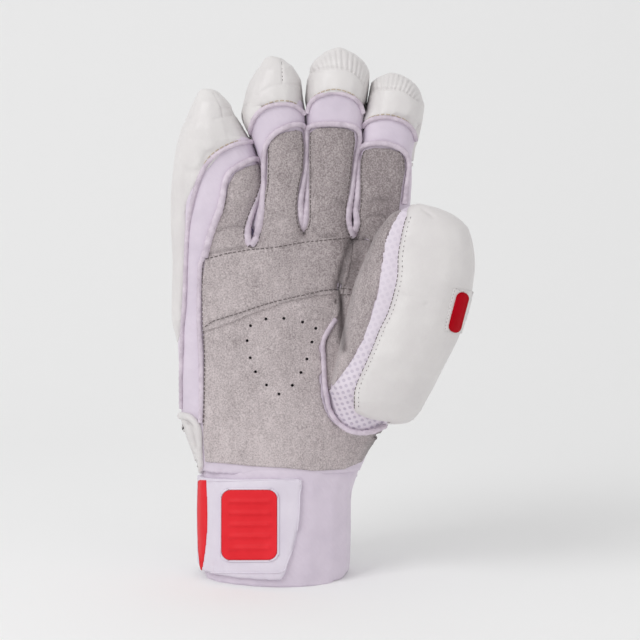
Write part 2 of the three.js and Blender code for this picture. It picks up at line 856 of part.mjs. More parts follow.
const patch_centre = [-0.122 * hand_width, strap_foot + strap_height / 2];
const stripe_outline = [
  [-0.42, 0.93],
  [-0.318, 0.93],
  [-0.309, 0.62],
  [-0.33, 0.3],
  [-0.355, 0.16],
  [-0.42, 0.16],
].map(([across, up]) => [across * hand_width, up * cuff_height]);
const on_strap = 2 * gap + strap_thick;
add(
  "strap_stripe",
  layer_on(cuff, on_strap, trim_thick).intersect(prism(stripe_outline, in_front, 0)),
  red_rubber,
);
const corners = [
  [-1, -1],
  [1, -1],
  [1, 1],
  [-1, 1],
].flatMap(([across, up]) =>
  [0, 1, 2].map((i) => {
    const turn = Math.atan2(up, across) + ((i - 1) * Math.PI) / 4;
    return [
      patch_centre[0] + across * (patch_width / 2 - patch_corner) + patch_corner * Math.cos(turn),
      patch_centre[1] + up * (patch_height / 2 - patch_corner) + patch_corner * Math.sin(turn),
    ];
  }),
);
const patch_zone = prism(corners, in_front, 0);
const rib_count = 5;
const ribs = Array.from({ length: rib_count }, (unused, i) => {
  const z = patch_centre[1] + ((i - (rib_count - 1) / 2) * patch_height) / (rib_count + 1);
  return prism(tilted_box([patch_centre[0], z], patch_width * 0.72, patch_rib, 0), in_front, 0);
});
add(
  "strap_patch",
  layer_on(cuff, on_strap, trim_thick)
    .intersect(patch_zone)
    .add(layer_on(cuff, on_strap, 2 * trim_thick).intersect(joined(ribs))),
  red_rubber,
);

// The bound edge of the slit where the hand opens at the wrist
const tab_outline = drawn([
  [-0.458, 0.299],
  [-0.426, 0.308],
  [-0.386, 0.301],
  [-0.355, 0.29],
  [-0.336, 0.277],
  [-0.333, 0.246],
  [-0.323, 0.215],
  [-0.35, 0.215],
  [-0.359, 0.241],
  [-0.373, 0.267],
  [-0.391, 0.283],
  [-0.427, 0.293],
]);
add("side_tab", layer_on(hand, gap, trim_thick).intersect(prism(tab_outline, in_front, 0)), leather);

const bounds = new THREE.Box3().setFromObject(glove);
const centre = bounds.getCenter(new THREE.Vector3());
glove.position.set(-centre.x, -centre.y, 0);

export default glove;
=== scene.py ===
# A right-hand cricket batting glove, standing on its cuff with the palm towards the camera.
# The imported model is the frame. Each soft piece is remade here over the solid that holds its place.
import math

import bmesh
import bpy
import numpy as np
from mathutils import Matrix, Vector
from mathutils.bvhtree import BVHTree
from mathutils.geometry import intersect_point_line


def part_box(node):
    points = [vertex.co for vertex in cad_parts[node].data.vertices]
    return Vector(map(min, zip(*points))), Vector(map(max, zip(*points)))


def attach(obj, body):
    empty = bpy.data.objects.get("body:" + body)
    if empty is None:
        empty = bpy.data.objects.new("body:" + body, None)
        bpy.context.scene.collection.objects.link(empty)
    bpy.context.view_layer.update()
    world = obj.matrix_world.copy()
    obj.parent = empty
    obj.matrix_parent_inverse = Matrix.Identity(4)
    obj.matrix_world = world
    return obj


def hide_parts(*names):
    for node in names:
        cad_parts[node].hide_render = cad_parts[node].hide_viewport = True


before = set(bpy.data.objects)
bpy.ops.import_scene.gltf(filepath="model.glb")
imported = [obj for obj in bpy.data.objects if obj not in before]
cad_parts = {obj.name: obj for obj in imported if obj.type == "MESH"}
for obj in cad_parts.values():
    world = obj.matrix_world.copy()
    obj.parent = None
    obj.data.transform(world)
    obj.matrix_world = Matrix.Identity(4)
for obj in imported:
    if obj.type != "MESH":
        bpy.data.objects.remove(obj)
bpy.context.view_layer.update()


# Camera and studio.
# The photograph looks at the palm from about a metre away, at the height of the fingertips and a
# little down. The floor and the wall behind are one pale sweep, lit softly from the upper left.
MM = 0.001
cuff_low, cuff_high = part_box("cuff")
CENTRE_X = cuff_low[0] + 38.9 * MM
CENTRE_Y = (cuff_low[1] + cuff_high[1]) / 2
IMAGE_SIDE = 640
CAMERA_AWAY = 1100 * MM
CAMERA_HEIGHT = 250 * MM
PIXEL_SIZE = 0.5 * MM
PITCH = math.radians(6.3)
SENSOR = 36.0
AIM_X = 21.2 * MM
SWEEP_COLOUR = "F6F6F6"

camera_data = bpy.data.cameras.new("camera")
camera_data.sensor_width = SENSOR
slant = CAMERA_AWAY / math.cos(PITCH)
camera_data.lens = SENSOR * slant / (IMAGE_SIDE * PIXEL_SIZE)
camera_data.clip_end = 20
camera = bpy.data.objects.new("camera", camera_data)
camera.location = (CENTRE_X + AIM_X, CENTRE_Y - CAMERA_AWAY, CAMERA_HEIGHT)
camera.rotation_euler = (math.pi / 2 - PITCH, 0, 0)
bpy.context.scene.collection.objects.link(camera)
bpy.context.scene.camera = camera
bpy.context.scene.view_settings.view_transform = "Standard"


def colour(hex_value):
    """An sRGB hex colour as linear red, green, blue and alpha."""
    parts = [int(hex_value[i : i + 2], 16) / 255 for i in (0, 2, 4)]
    linear = [p / 12.92 if p <= 0.04045 else ((p + 0.055) / 1.055) ** 2.4 for p in parts]
    return (*linear, 1.0)


def add_node(tree, kind, inputs=None, **settings):
    """Adds a node, sets its settings, and sets or links its inputs."""
    node = tree.nodes.new(kind)
    for name, value in settings.items():
        setattr(node, name, value)
    for socket, value in (inputs or {}).items():
        if isinstance(value, bpy.types.NodeSocket):
            tree.links.new(value, node.inputs[socket])
        else:
            node.inputs[socket].default_value = value
    return node


def new_material(name, sockets):
    """A material whose Principled shader has these sockets set, ready for nodes."""
    material = bpy.data.materials.new(name)
    material.use_nodes = True
    shader = material.node_tree.nodes["Principled BSDF"]
    for socket, value in sockets.items():
        shader.inputs[socket].default_value = value
    return material, material.node_tree, shader


def new_object(name, mesh):
    piece = bpy.data.objects.new(name, mesh)
    bpy.context.scene.collection.objects.link(piece)
    for face in mesh.polygons:
        face.use_smooth = True
    return piece


def built(name, bm):
    """Turns a finished working mesh into an object."""
    mesh = bpy.data.meshes.new(name)
    bm.to_mesh(mesh)
    bm.free()
    return new_object(name, mesh)


sweep_looks = {"Base Color": colour(SWEEP_COLOUR), "Roughness": 0.9}
sweep_paper = new_material("sweep_paper", sweep_looks)[0]
FLOOR_HALF = 3.0
WALL_Y = 1.2
WALL_HIGH = 3.0
BEND_RADIUS = 0.8
BEND_STEPS = 16
bm = bmesh.new()
profile = [(-FLOOR_HALF, 0.0), (WALL_Y - BEND_RADIUS, 0.0)]
for step in range(1, BEND_STEPS + 1):
    turn = step / BEND_STEPS * math.pi / 2
    profile.append(
        (WALL_Y - BEND_RADIUS + BEND_RADIUS * math.sin(turn), BEND_RADIUS * (1 - math.cos(turn)))
    )
profile.append((WALL_Y, WALL_HIGH))
line = [bm.verts.new((-FLOOR_HALF, y, z)) for y, z in profile]
edges = [bm.edges.new(pair) for pair in zip(line, line[1:])]
grown = bmesh.ops.extrude_edge_only(bm, edges=edges)
moved = [v for v in grown["geom"] if isinstance(v, bmesh.types.BMVert)]
bmesh.ops.translate(bm, verts=moved, vec=(2 * FLOOR_HALF, 0, 0))
bmesh.ops.recalc_face_normals(bm, faces=bm.faces)
sweep = built("sweep", bm)
sweep.data.materials.append(sweep_paper)

world = bpy.data.worlds.new("studio")
world.use_nodes = True
background = world.node_tree.nodes["Background"]
background.inputs["Color"].default_value = (1, 1, 1, 1)
background.inputs["Strength"].default_value = 0.7
bpy.context.scene.world = world


def soft_box(name, place, aim, size, power):
    """A square area light at a place, turned to its aim."""
    data = bpy.data.lights.new(name, "AREA")
    data.size = size
    data.energy = power
    lamp = bpy.data.objects.new(name, data)
    lamp.location = place
    lamp.rotation_euler = (Vector(aim) - Vector(place)).to_track_quat("-Z", "Y").to_euler()
    bpy.context.scene.collection.objects.link(lamp)


GLOVE_MIDDLE = (0, 0, 0.13)
soft_box("key_light", (-0.9, -0.9, 1.15), GLOVE_MIDDLE, size=0.8, power=8.5)
soft_box("fill_light", (1.3, -1.2, 0.7), GLOVE_MIDDLE, size=1.2, power=1.5)


# The stretch fabric.
# A fine white knit with a lavender cast: the finger stalls, the back and sides of the hand and
# the thumb's back. It is one layer, 2 mm with its foam, and carries the suede sewn on its front.
def settled(piece):
    """Turns what the modifiers make into the piece's own mesh."""
    depsgraph = bpy.context.evaluated_depsgraph_get()
    mesh = bpy.data.meshes.new_from_object(piece.evaluated_get(depsgraph))
    piece.modifiers.clear()
    piece.data = mesh
    for face in mesh.polygons:
        face.use_smooth = True


def add_solid(bm, node, grow_mm, plane=None):
    """Adds one of the frame's solids to a mesh, grown a little and cut off below a plane."""
    part = bmesh.new()
    part.from_mesh(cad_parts[node].data)
    bmesh.ops.remove_doubles(part, verts=part.verts, dist=0.001 * MM)
    part.normal_update()
    grown = [v.co + v.normal * grow_mm * MM for v in part.verts]
    for vertex, place in zip(part.verts, grown):
        vertex.co = place
    if plane:
        bmesh.ops.bisect_plane(
            part, geom=[*part.verts, *part.edges, *part.faces], plane_co=plane[0],
            plane_no=plane[1], clear_inner=True,
        )
        rim_edges = [edge for edge in part.edges if edge.is_boundary]
        bmesh.ops.holes_fill(part, edges=rim_edges, sides=0)
    joined = bpy.data.meshes.new(node + "_copy")
    part.to_mesh(joined)
    part.free()
    bm.from_mesh(joined)
    bpy.data.meshes.remove(joined)


def skinned(piece, voxel, let_out, rounds):
    """Turns solids that meet or overlap into one smooth closed skin, let out a little."""
    skin = piece.modifiers.new("skin", "REMESH")
    skin.mode = "VOXEL"
    skin.voxel_size = voxel * MM
    ease = piece.modifiers.new("ease", "DISPLACE")
    ease.mid_level = 0
    ease.strength = let_out * MM
    smooth = piece.modifiers.new("smooth", "SMOOTH")
    smooth.factor = 0.5
    smooth.iterations = rounds
    settled(piece)
    return piece


def soft_copy(name, nodes, voxel, let_out, rounds, meet=0.0):
    """A smooth closed skin over solids of the frame, each first grown until neighbours meet."""
    bm = bmesh.new()
    for node in nodes:
        add_solid(bm, node, meet)
    return skinned(built(name, bm), voxel, let_out, rounds)


def refined(piece, levels):
    """Adds smooth faces for finer work."""
    finer = piece.modifiers.new("finer", "SUBSURF")
    finer.levels = levels
    finer.render_levels = levels
    settled(piece)


def dress(piece, material, nodes=()):
    """Gives a piece its material and slot, its place on the body and the solids it stands for."""
    piece.data.materials.clear()
    piece.data.materials.append(material)
    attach(piece, "root")
    if nodes:
        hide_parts(*nodes)


def seen_rays():
    """The camera's place, and its right, up and forward directions."""
    turned = camera.rotation_euler.to_matrix()
    return camera.location, turned.col[0], turned.col[1], -turned.col[2]


def pixels_of(places):
    """Where points show in the photograph, as an array of pixel pairs and their distances."""
    start, right, up, forward = (np.array(v) for v in seen_rays())
    away = places - start
    depth = away @ forward
    focal = slant / PIXEL_SIZE
    across = IMAGE_SIDE / 2 + focal * (away @ right) / depth
    down = IMAGE_SIDE / 2 - focal * (away @ up) / depth
    return np.stack([across, down], axis=1), depth


def search_tree(pieces):
    """One search tree over the faces of several pieces."""
    places = []
    faces = []
    for piece in pieces:
        first = len(places)
        places += [v.co.copy() for v in piece.data.vertices]
        faces += [[first + i for i in face.vertices] for face in piece.data.polygons]
    return BVHTree.FromPolygons(places, faces)


def smooth_run(pixels, spacing=1.5, closed=False):
    """Evenly spaced points on a smooth line through a few chosen ones."""
    points = [Vector(p) for p in pixels]
    count = len(points)
    run = []
    for i in range(count if closed else count - 1):
        if closed:
            a, b, c, d = (points[(i + k) % count] for k in (-1, 0, 1, 2))
        else:
            b, c = points[i], points[i + 1]
            a = points[i - 1] if i else b * 2 - c
            d = points[i + 2] if i + 2 < count else c * 2 - b
        steps = max(1, round((c - b).length / spacing))
        for k in range(steps):
            t = k / steps
            curve = (2 * a - 5 * b + 4 * c - d) * t * t + (3 * b - a - 3 * c + d) * t * t * t
            run.append(0.5 * (2 * b + (c - a) * t + curve))
    if not closed:
        run.append(points[-1])
    return run


def seen_place(tree, x, y):
    """Where a pixel's ray first meets the pieces, and the surface's direction there."""
    start, right, up, forward = seen_rays()
    focal = slant / PIXEL_SIZE
    way = forward * focal + right * (x - IMAGE_SIDE / 2) + up * (IMAGE_SIDE / 2 - y)
    place, normal = tree.ray_cast(start, way.normalized())[:2]
    return (place, normal) if place else None


def laid_on(tree, pixels, lift_mm, spacing=1.5, closed=False):
    """The places on the pieces where a line drawn in the photograph falls, lifted off a little."""
    hits = [seen_place(tree, x, y) for x, y in smooth_run(pixels, spacing, closed)]
    return [place + normal * lift_mm * MM for place, normal in (hit for hit in hits if hit)]


def eased(places, rounds):
    """The same run of places with its small jumps smoothed out."""
    for number in range(rounds):
        inner = [(a + b * 2 + c) / 4 for a, b, c in zip(places, places[1:], places[2:])]
        places = [places[0], *inner, places[-1]]
    return places


def round_cord(name, runs, radius_mm, swell=0.0, swell_pitch=3.0, sides=3, fuller=None):
    """Round cords along runs of places, as one piece, with a slight regular swelling.
    Where fuller is given, it makes the cord thicker at a place."""
    data = bpy.data.curves.new(name, "CURVE")
    data.dimensions = "3D"
    data.bevel_depth = radius_mm * MM
    data.bevel_resolution = sides
    data.use_fill_caps = True
    for places in runs:
        spline = data.splines.new("POLY")
        spline.points.add(len(places) - 1)
        gone = 0.0
        for i, place in enumerate(places):
            if i:
                gone += (place - places[i - 1]).length
            spline.points[i].co = (*place, 1)
            thick = 1 + swell * math.sin(2 * math.pi * gone / (swell_pitch * MM))
            spline.points[i].radius = thick * (fuller(place) if fuller else 1)
    curve = bpy.data.objects.new(name + "_curve", data)
    bpy.context.scene.collection.objects.link(curve)
    depsgraph = bpy.context.evaluated_depsgraph_get()
    mesh = bpy.data.meshes.new_from_object(curve.evaluated_get(depsgraph))
    mesh.name = name
    bpy.data.objects.remove(curve)
    return new_object(name, mesh)


def line_distance(points, line):
    """How far each point lies from a line of points, in pixels."""
    nearest = np.full(len(points), 1e9)
    for a, b in zip(line, line[1:]):
        a, b = np.array(a), np.array(b)
        along = b - a
        share = np.clip((points - a) @ along / max(along @ along, 1e-9), 0, 1)
        gap = np.linalg.norm(points - a - share[:, None] * along, axis=1)
        nearest = np.minimum(nearest, gap)
    return nearest


def places_of(piece, kind="co"):
    """The places of a piece's points, or their normals, as an array."""
    values = np.empty(len(piece.data.vertices) * 3)
    piece.data.vertices.foreach_get(kind, values)
    return values.reshape(-1, 3)


def put_places(piece, places):
    piece.data.vertices.foreach_set("co", places.reshape(-1))
    piece.data.update()


def pressed(piece, pixels, wide_px, deep_mm):
    """Presses a soft groove into the side seen in the photograph; below zero it raises a ridge."""
    places = places_of(piece)
    normals = places_of(piece, "normal")
    where = pixels_of(places)[0]
    line = smooth_run(pixels, 4)
    far = line_distance(where, line)
    facing = np.clip(-normals[:, 1] * 2, 0, 1)
    move = deep_mm * MM * np.exp(-((far / wide_px) ** 2)) * facing
    put_places(piece, places - normals * move[:, None])


def outline_rows(piece, step=3.0, reach=2.5):
    """A piece's left and right edges in the photograph, row by row."""
    where = pixels_of(places_of(piece))[0]
    found = []
    for row in np.arange(where[:, 1].min() + step / 3, where[:, 1].max(), step):
        near = where[np.abs(where[:, 1] - row) < reach]
        if len(near):
            found.append((row, near[:, 0].min(), near[:, 0].max()))
    return np.array(found)


def wanted_edge(rows, now, pixels, fade=10):
    """An edge moved onto a line of the photograph, and left as it is beyond the line's ends."""
    line = sorted((p[1], p[0]) for p in smooth_run(pixels, 2))
    at_rows, across = zip(*line)
    wanted = np.interp(rows, at_rows, across)
    past = np.maximum(at_rows[0] - rows, rows - at_rows[-1])
    share = np.clip(1 - past / fade, 0, 1)
    return now + share * (wanted - now)


def fitted(piece, left_pixels, right_pixels, edges=None, share_moved=None):
    """Shifts a piece sideways so that its outline meets the photograph's, row by row."""
    places = places_of(piece)
    where, depth = pixels_of(places)
    if edges is None:
        edges = outline_rows(piece)
    now_left = np.interp(where[:, 1], edges[:, 0], edges[:, 1])
    now_right = np.interp(where[:, 1], edges[:, 0], edges[:, 2])
    left, right = now_left, now_right
    if left_pixels:
        left = wanted_edge(where[:, 1], now_left, left_pixels)
    if right_pixels:
        right = wanted_edge(where[:, 1], now_right, right_pixels)
    share = (where[:, 0] - now_left) / np.maximum(now_right - now_left, 1.0)
    shift = (left + share * (right - left) - where[:, 0]) * depth / (slant / PIXEL_SIZE)
    if share_moved is not None:
        shift = shift * share_moved
    places[:, 0] += shift
    put_places(piece, places)


def inside_line(points, outline):
    """Which points lie inside a closed line."""
    inside = np.zeros(len(points), dtype=bool)
    for (ax, ay), (bx, by) in zip(outline, outline[1:] + outline[:1]):
        crosses = (ay > points[:, 1]) != (by > points[:, 1])
        reach = ax + (points[:, 1] - ay) / ((by - ay) or 1e-9) * (bx - ax)
        inside ^= crosses & (points[:, 0] < reach)
    return inside


DRAW_BACK = 0.5
DRAW_BACK_TRIES = 14


def cut_sheet(name, tree, outline, spacing, lift_mm, thick_mm):
    """A sheet cut to an outline drawn in the photograph and laid on the pieces behind it."""
    low = [min(p[i] for p in outline) for i in (0, 1)]
    high = [max(p[i] for p in outline) for i in (0, 1)]
    count = [math.ceil((high[i] - low[i]) / spacing) for i in (0, 1)]
    bm = bmesh.new()
    bmesh.ops.create_grid(bm, x_segments=count[0], y_segments=count[1], size=0.5)
    bmesh.ops.translate(bm, verts=bm.verts, vec=(0.5, 0.5, 0))
    bmesh.ops.scale(bm, verts=bm.verts, vec=(count[0] * spacing, count[1] * spacing, 1))
    bmesh.ops.translate(bm, verts=bm.verts, vec=(low[0], low[1], 0))
    centres = np.array([face.calc_center_median()[:2] for face in bm.faces])
    kept = inside_line(centres, outline)
    waste = [face for face, inside in zip(bm.faces, kept) if not inside]
    bmesh.ops.delete(bm, geom=waste, context="FACES")
    ring = [(Vector(a), Vector(b)) for a, b in zip(outline, outline[1:] + outline[:1])]
    for vertex in [v for v in bm.verts if v.is_boundary]:
        spot = vertex.co.xy
        nearest = None
        for start, end in ring:
            on_line, share = intersect_point_line(spot, start, end)
            on_line = start.lerp(end, min(max(share, 0), 1))
            if nearest is None or (on_line - spot).length < (nearest - spot).length:
                nearest = on_line
        vertex.co.xy = nearest
    inner = [v for v in bm.verts if not v.is_boundary]
    for number in range(3):
        bmesh.ops.smooth_vert(bm, verts=inner, factor=0.5, use_axis_x=True, use_axis_y=True)
    middle = Vector(outline[0]).lerp(Vector(outline[len(outline) // 2]), 0.5)
    lost = []
    for vertex in bm.verts:
        # An edge point that falls past the silhouette is drawn back until it lies on the piece.
        inwards = (middle - vertex.co.xy).normalized() * DRAW_BACK
        for step in range(DRAW_BACK_TRIES):
            spot = vertex.co.xy + inwards * step
            hit = seen_place(tree, spot.x, spot.y)
            if hit:
                break
        if hit is None:
            lost.append(vertex)
        else:
            vertex.co = hit[0] + hit[1] * lift_mm * MM
    bmesh.ops.delete(bm, geom=lost, context="VERTS")
    for number in range(4):
        bmesh.ops.smooth_vert(
            bm, verts=bm.verts, factor=0.5, use_axis_x=False, use_axis_y=True, use_axis_z=False
        )
    bmesh.ops.recalc_face_normals(bm, faces=bm.faces)
    if sum(face.normal.y for face in bm.faces) > 0:
        bmesh.ops.reverse_faces(bm, faces=bm.faces)
    piece = built(name, bm)
    wall = piece.modifiers.new("wall", "SOLIDIFY")
    wall.thickness = thick_mm * MM
    wall.offset = -1
    settled(piece)
    return piece


def banded(tree, coordinates, size_mm, detail, low, high, stretch=(1, 1, 1)):
    """Noise of a real size in millimetres, spread between two values."""
    mapped = add_node(tree, "ShaderNodeMapping", {"Vector": coordinates, "Scale": stretch})
    noise = add_node(
        tree,
        "ShaderNodeTexNoise",
        {"Vector": mapped.outputs[0], "Scale": 1 / (size_mm * MM), "Detail": detail, "Roughness": 0.6},
    )
    spread = add_node(
        tree,
        "ShaderNodeMapRange",
        {"Value": noise.outputs[0], "From Min": 0.3, "From Max": 0.7, "To Min": low, "To Max": high},
    )
    return spread.outputs[0]


def mottled(name, shade, light, size_mm, detail, sockets):
    """A material whose colour drifts softly between two, its nodes, shader and coordinates."""
    material, tree, shader = new_material(name, sockets)
    place = add_node(tree, "ShaderNodeTexCoord").outputs["Object"]
    clouds = banded(tree, place, size_mm, detail, 0, 1)
    mixed = {"Factor": clouds, 6: colour(shade), 7: colour(light)}
    tone = add_node(tree, "ShaderNodeMix", mixed, data_type="RGBA")
    tree.links.new(tone.outputs[2], shader.inputs["Base Color"])
    return material, tree, shader, place


FABRIC_LIGHT = "DED3E0"
FABRIC_SHADE = "D2C7D5"
KNIT_PITCH = 0.9
fabric_looks = {"Roughness": 0.85, "Specular IOR Level": 0.25, "Sheen Weight": 0.2}
stretch_knit, tree, shader, place = mottled(
    "stretch_knit", FABRIC_SHADE, FABRIC_LIGHT, 18, 3, fabric_looks
)
rows = add_node(
    tree,
    "ShaderNodeTexWave",
    {"Vector": place, "Scale": 1 / (KNIT_PITCH * MM) / 20 * math.pi, "Distortion": 1.5, "Detail": 1},
    bands_direction="DIAGONAL",
)
ribs = {"Height": rows.outputs[1], "Strength": 0.25, "Distance": 0.2 * MM}
bump = add_node(tree, "ShaderNodeBump", ribs)
tree.links.new(bump.outputs[0], shader.inputs["Normal"])

FABRIC_VOXEL = 1.2
FABRIC_LET_OUT = 0.3
FABRIC_ROUNDS = 10
FABRIC_MEET = 0.25
finger_names = ["little", "ring", "middle", "index"]
stalls = ["stall_" + finger for finger in finger_names]
# The lines in the photograph where neighbouring fingers touch, from the necks to the slits' ends.
TOUCH_LINES = {
    "little_ring": [
        (252, 138), (254.6, 146), (257.3, 154), (261.5, 168), (263, 183), (260.5, 197),
        (256.4, 206), (252.9, 220), (250, 236),
    ],
    "ring_middle": [
        (306, 104), (306, 121), (306.2, 140), (307, 154), (306.8, 168), (306, 183),
        (305, 197), (304, 210), (303.5, 222), (303, 230),
    ],
    "middle_index": [
        (364.5, 112), (363.5, 124), (361.5, 137), (359.5, 147), (357.3, 157), (356.5, 168),
        (355.5, 180), (354, 192), (353, 204), (351.5, 216), (350.5, 228),
    ],
}
INDEX_SIDE = [(417, 122), (415.5, 140), (412, 156), (412, 179), (410.5, 203), (409, 225)]
LAPPED_SIDES = 0.3


def beside(line, across, down=0):
    return [(x + across, y + down) for x, y in line]


# The caps' own outlines in the photograph. The stalls' tips stay a little inside them.
CAP_SIDES = {
    "ring": (
        [(268, 56.3), (264.5, 58), (262, 61.5), (259, 66), (256, 70), (253, 75), (250, 80),
         (246.5, 89), (244.5, 98), (241.7, 110), (241.3, 116), (242.5, 122), (246, 130), (249, 136)],
        [(276.5, 56.3), (283, 58), (288, 62), (293, 66), (295.7, 70), (298.7, 75), (301, 80),
         (302, 88), (303.5, 100), (305, 108)],
    ),
    "middle": (
        [(333, 47.8), (327, 50), (321, 54), (316, 58), (313, 62), (310.5, 66), (309.3, 73),
         (307, 80), (305.8, 90), (305, 100), (306, 108)],
        [(344, 47.8), (349, 50), (356.5, 54), (361.5, 58), (365, 62), (367.3, 66), (369.4, 72),
         (369.4, 80), (368.4, 92), (367, 102), (365.7, 112)],
    ),
    "index": (
        [(386, 73), (381, 75), (375, 78.5), (371, 82.5), (369.5, 90), (367.5, 99), (365, 110),
         (362.5, 120)],
        [(398, 73), (404, 75), (412, 80), (417, 85), (420.4, 91), (423, 99), (424.5, 105.5),
         (423.3, 116), (421.8, 126), (418.5, 140), (415.3, 150), (413.8, 162)],
    ),
    "little": (
        [(200.5, 89), (197.8, 92), (193.8, 99.5), (189, 110), (185, 120), (180.5, 130), (176, 148),
         (173.5, 166), (171.3, 190), (170.7, 210), (171, 230), (172.5, 260), (172, 290),
         (172, 320), (176, 338)],
        [(214, 89), (219, 91.5), (226, 98), (230.5, 104), (234, 112.4), (240.9, 122.8),
         (247.8, 134.8), (251, 139)],
    ),
}
TIP_INSET = 3.0


def tip_and_side(finger, side, line):
    """A finger's edge: its cap's outline, drawn in, and below it the line that it touches."""
    inwards = (TIP_INSET, -TIP_INSET)[side]
    first_row = min(y for x, y in line) - 6
    return [(x + inwards, y) for x, y in CAP_SIDES[finger][side] if y < first_row] + line


# Neighbouring fingers lap a little where they touch. The little finger's outer side is the hand's.
left_sides = [None, *(beside(line, -LAPPED_SIDES) for line in TOUCH_LINES.values())]
right_sides = [*(beside(line, LAPPED_SIDES) for line in TOUCH_LINES.values()), INDEX_SIDE]


def knit_skin(name, nodes):
    """The stretch fabric over some of the frame's solids, in one smooth skin."""
    return soft_copy(name, nodes, FABRIC_VOXEL, FABRIC_LET_OUT, FABRIC_ROUNDS, FABRIC_MEET)


palm_nodes = ["palm_finger_panel", "palm_middle_panel", "palm_lower_panel"]
hand = knit_skin("hand_knit", ["hand_back", *stalls, *palm_nodes])
where = pixels_of(places_of(hand))[0]
edges = {}
for finger in finger_names:
    sample = knit_skin("sample", ["stall_" + finger])
    edges[finger] = outline_rows(sample)
    bpy.data.objects.remove(sample)


ROOT_ROW = 238
ROOT_FADE = 12


def share_of_finger(finger):
    """How far each point of the hand belongs to a finger, fading out at the finger's root."""
    far = []
    for name in finger_names:
        left = np.interp(where[:, 1], edges[name][:, 0], edges[name][:, 1])
        right = np.interp(where[:, 1], edges[name][:, 0], edges[name][:, 2])
        far.append(np.maximum(left - where[:, 0], where[:, 0] - right))
    nearest = np.argmin(np.array(far), axis=0)
    fade = np.clip((ROOT_ROW - where[:, 1]) / ROOT_FADE, 0, 1)
    return (nearest == finger_names.index(finger)) * fade


shares = {finger: share_of_finger(finger) for finger in finger_names}
for finger, left, right in zip(finger_names, left_sides, right_sides):
    if left:
        left = tip_and_side(finger, 0, left)
    fitted(hand, left, tip_and_side(finger, 1, right), edges[finger], shares[finger])


def drawn_out(piece, edge, reach_mm, over_mm):
    """Draws one end of a piece out a little, so that it laps the piece that it is sewn to."""
    places = places_of(piece)
    share = np.clip(1 - np.abs(places[:, 2] - edge) / (over_mm * MM), 0, 1)
    places[:, 2] += reach_mm * MM * share
    put_places(piece, places)


def smoothed_patch(piece, low, high, rounds):
    """Smooths a step away between two corners of the photograph."""
    where = pixels_of(places_of(piece))[0]
    inside = np.all((where > low) & (where < high), axis=1)
    bm = bmesh.new()
    bm.from_mesh(piece.data)
    chosen = [vertex for vertex, kept in zip(bm.verts, inside) if kept]
    for number in range(rounds):
        bmesh.ops.smooth_vert(
            bm, verts=chosen, factor=0.5, use_axis_x=True, use_axis_y=True, use_axis_z=True
        )
    bm.to_mesh(piece.data)
    bm.free()


LOW_LEFT = [
    (178, 342), (178.7, 360), (179.3, 380), (180.5, 405), (182, 417), (185, 428), (190, 442),
    (196, 456), (200, 466),
]
LOW_RIGHT = [(385, 424), (379.3, 434.3), (371.4, 445), (362.5, 461.7)]
fitted(hand, LOW_LEFT, LOW_RIGHT)
HAND_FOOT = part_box("hand_back")[0][2]
SEAM_LAP = 2.0
drawn_out(hand, HAND_FOOT, -SEAM_LAP, over_mm=8)
smoothed_patch(hand, (184, 268), (236, 300), rounds=25)
dress(hand, stretch_knit, ["hand_back", *stalls])
thumb = knit_skin("thumb_knit", ["thumb_back", "thumb_mesh", "thumb_suede"])
dress(thumb, stretch_knit, ["thumb_back"])


# The palm.
# Four pieces of napped cowhide suede: the finger fronts in one cut, a middle and a lower panel,
# and the thumb's inner side. Each laps the next one down and is topstitched along its lower edge.
SUEDE_LIGHT = "D3C8C9"
SUEDE_DARK = "877D7E"
# The colour of the painted shade in the suede's folds and creases.
SUEDE_FOLD_SHADE = "625A5B"
suede_looks = {
    "Roughness": 0.95, "Specular IOR Level": 0.2, "Sheen Weight": 0.25, "Sheen Roughness": 0.6,
}
suede, tree, shader = new_material("napped_suede", suede_looks)
place = add_node(tree, "ShaderNodeTexCoord").outputs["Object"]
blotches = banded(tree, place, 14, 4, 0, 1, (1, 1, 0.6))
streaks = banded(tree, place, 2.2, 5, 0, 1, (1, 1, 0.45))
# The nap's grain is 0.2 mm and finer. It is drawn at 0.7 mm so that it shows in the render.
grain = banded(tree, place, 0.7, 2, 0, 1)
# The panels are painted darker towards the first finger and up the fingers, as painted shade.
spot = add_node(tree, "ShaderNodeSeparateXYZ", {"Vector": place})
SHADE_ACROSS = {"From Min": -0.045, "From Max": 0.04, "To Min": 0.02, "To Max": -0.3}
SHADE_UP = {"From Min": 0.07, "From Max": 0.2, "To Min": 0.12, "To Max": -0.2}
across_shade, upward_shade = (
    add_node(tree, "ShaderNodeMapRange", {"Value": spot.outputs[axis], **shade_ramp}).outputs[0]
    for axis, shade_ramp in (("X", SHADE_ACROSS), ("Z", SHADE_UP))
)
mix = add_node(tree, "ShaderNodeMath", {0: across_shade, 1: upward_shade}, operation="ADD").outputs[0]
for pattern, weight in ((blotches, 0.3), (streaks, 0.25), (grain, 0.75)):
    mix = add_node(
        tree, "ShaderNodeMath", {0: pattern, 1: weight, 2: mix}, operation="MULTIPLY_ADD"
    ).outputs[0]
mixed = {"Factor": mix, 6: colour(SUEDE_DARK), 7: colour(SUEDE_LIGHT)}
tone = add_node(tree, "ShaderNodeMix", mixed, data_type="RGBA")
# Painted shade: points near the folds are painted darker.
fold_shade_mark = add_node(tree, "ShaderNodeAttribute", attribute_name="fold_shade").outputs["Fac"]
mixed = {"Factor": fold_shade_mark, 6: tone.outputs[2], 7: colour(SUEDE_FOLD_SHADE)}
shaded = add_node(tree, "ShaderNodeMix", mixed, data_type="RGBA")
tree.links.new(shaded.outputs[2], shader.inputs["Base Color"])
nap = add_node(tree, "ShaderNodeMath", {0: streaks, 1: 0.6, 2: grain}, operation="MULTIPLY_ADD")
bump = add_node(
    tree, "ShaderNodeBump", {"Height": nap.outputs[0], "Strength": 0.5, "Distance": 0.35 * MM}
)
tree.links.new(bump.outputs[0], shader.inputs["Normal"])


